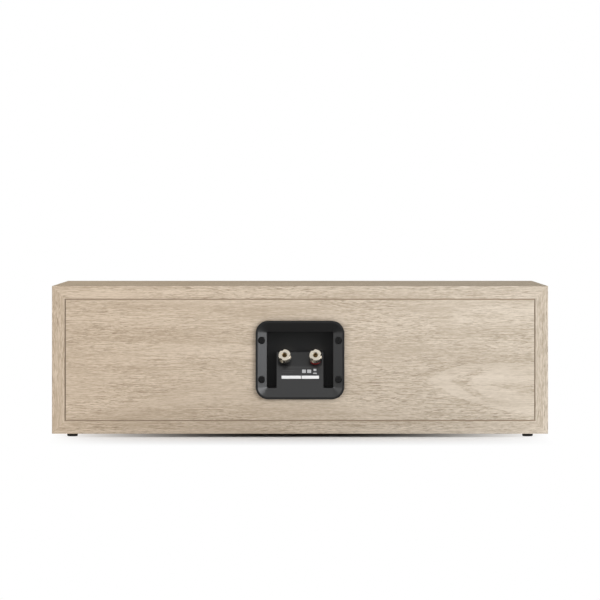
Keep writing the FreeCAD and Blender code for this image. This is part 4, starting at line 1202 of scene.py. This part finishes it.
class SPEAKER_OT_tweeter(bpy.types.Operator):
    """Tweeter with a flared faceplate and a smooth cloth dome"""
    bl_idname = "speaker.tweeter"
    bl_label = "Tweeter"

    def execute(self, context):
        metal = settings("drivers").metal
        satin = grained_material("faceplate_satin", metal, roughness=0.4, grain=1500.0, relief=0.00002)
        cloth = fibre_material("dome_cloth", (0.018, 0.018, 0.019), scale=2200.0, relief=0.00002,
                               roughness=0.55)
        self.make_plate(satin)
        self.make_dome(cloth)
        return {"FINISHED"}

    def make_plate(self, satin):
        """A round plate whose throat flares out towards the front."""
        low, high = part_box("tweeter_faceplate")
        outline = filleted([(THROAT_RADIUS, high.y, 0.0),
                            (THROAT_RADIUS, high.y - THROAT_DEPTH, THROAT_ROUND),
                            (THROAT_RADIUS + FLARE_WIDTH, low.y, FLARE_ROUND),
                            (high.x, low.y, PLATE_ROUND), (high.x, high.y, 0.0)])
        mesh = driver_mesh("tweeter_plate", outline, 0.0, satin)
        add_piece("tweeter_plate", mesh, "cabinet", ("tweeter_faceplate",))

    def make_dome(self, cloth):
        """A thin round dome with its flat glued rim."""
        low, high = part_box("tweeter_dome")
        base = high.y - DOME_WALL
        rise = base - low.y
        outline = arc((0.0, base), (DOME_RADIUS, rise), -90, 0, DOME_STEPS)
        outline += [(high.x, base), (high.x, high.y)]
        outline += arc((0.0, high.y), (DOME_RADIUS - DOME_WALL, rise), 0, -90, DOME_STEPS)
        name = "tweeter_dome_smooth"
        mesh = driver_mesh(name, outline, 0.0, cloth)
        add_ring(name, mesh, "tweeter_dome")


class SPEAKER_OT_inner_parts(bpy.types.Operator):
    """Finishes of the pieces inside the cabinet, and loose wadding"""
    bl_idname = "speaker.inner_parts"
    bl_label = "Inner parts"

    def execute(self, context):
        steel = metal_material("motor_zinc", (0.55, 0.56, 0.57), roughness=0.33)
        copper = metal_material("coil_copper", (0.72, 0.33, 0.18), roughness=0.3, lines=2500.0)
        foam = fibre_material("pad_foam", (0.03, 0.03, 0.03), scale=700.0, relief=0.0002)
        jacket = grained_material("lead_jacket", (0.012, 0.012, 0.012), roughness=0.5)
        finishes = {
            "driver_pots": steel,
            "driver_pole_plates": steel,
            "driver_magnets": metal_material("magnet_nickel", (0.7, 0.7, 0.69), roughness=0.2),
            "left_voice_coil": copper,
            "right_voice_coil": copper,
            "tweeter_voice_coil": copper,
            "crossover_inductors": copper,
            "crossover_pads": foam,
            "crossover_board": grained_material("board_fibre", (0.19, 0.1, 0.04), roughness=0.5),
            "crossover_capacitors": grained_material("capacitor_case", (0.3, 0.03, 0.015), roughness=0.3),
            "crossover_resistors": grained_material("resistor_ceramic", (0.62, 0.61, 0.57), roughness=0.7),
            "woofer_leads": jacket,
            "tweeter_lead": jacket,
            "input_wires": jacket,
        }
        for node, material in finishes.items():
            paint(node, material)
        fluff = fibre_material("wadding_fluff", (0.78, 0.78, 0.76), scale=260.0, relief=0.002, roughness=0.95)
        for side in SIDES:
            self.make_wadding(side, fluff)
        return {"FINISHED"}

    def make_wadding(self, side, fluff):
        """A soft block with rounded edges and an uneven surface, inside its solid's limits."""
        low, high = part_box(side + "_wadding")
        work = bmesh.new()
        bmesh.ops.create_cube(work, size=1.0)
        bmesh.ops.subdivide_edges(work, edges=work.edges, cuts=WADDING_CUTS, use_grid_fill=True)
        size = high - low
        centre = (low + high) / 2
        for vertex in work.verts:
            part = vertex.co * 2
            crown = Vector(part[axis] * math.sqrt(1 - WADDING_CROWN * part[axis - 1] ** 2
                                                  - WADDING_CROWN * part[axis - 2] ** 2)
                           for axis in range(3))
            lump = noise.noise(Vector(part) * WADDING_LUMP_SCALE + WADDING_LUMP_START)
            swell = WADDING_SIZE + WADDING_LUMP * lump
            vertex.co = centre + Vector(crown[axis] * size[axis] / 2 for axis in range(3)) * swell
        name = side + "_wadding_block"
        mesh = finished(mesh_from(work, name), fluff, smooth_degrees=180.0)
        piece = add_piece(name, mesh, "cabinet", (side + "_wadding",))


class SPEAKER_PT_panel(bpy.types.Panel):
    """Buttons for every step, with the settings they use"""
    bl_idname = "SPEAKER_PT_panel"
    bl_label = "Loudspeaker"
    bl_space_type = "VIEW_3D"
    bl_region_type = "UI"
    bl_category = "Loudspeaker"

    def draw(self, context):
        for step in STEPS:
            self.layout.operator(step.bl_idname)
        for group in GROUPS:
            box = self.layout.box()
            box.label(text=group.capitalize())
            for name in settings(group).bl_rna.properties.keys():
                if name not in ("rna_type", "name"):
                    box.prop(settings(group), name)


GROUPS = {
    "oak": SpeakerOak,
    "cup": SpeakerCup,
    "posts": SpeakerPosts,
    "drivers": SpeakerDrivers,
    "stage": SpeakerStage,
}
STEPS = (SPEAKER_OT_stage, SPEAKER_OT_cabinet, SPEAKER_OT_terminal_cup, SPEAKER_OT_posts, SPEAKER_OT_screws,
         SPEAKER_OT_feet, SPEAKER_OT_woofers, SPEAKER_OT_tweeter, SPEAKER_OT_inner_parts)
CLASSES = (*GROUPS.values(), *STEPS, SPEAKER_PT_panel)


def register():
    """Adds the classes and puts the settings on the scene."""
    for made in CLASSES:
        bpy.utils.register_class(made)
    for name, group in GROUPS.items():
        setattr(bpy.types.Scene, "speaker_" + name, PointerProperty(type=group))


def unregister():
    """Takes the settings and the classes away again."""
    for name in GROUPS:
        delattr(bpy.types.Scene, "speaker_" + name)
    for made in reversed(CLASSES):
        bpy.utils.unregister_class(made)


def main():
    """Runs every step in order."""
    register()
    for step in STEPS:
        module, name = step.bl_idname.split(".")
        getattr(getattr(bpy.ops, module), name)()


if __name__ == "__main__":
    main()
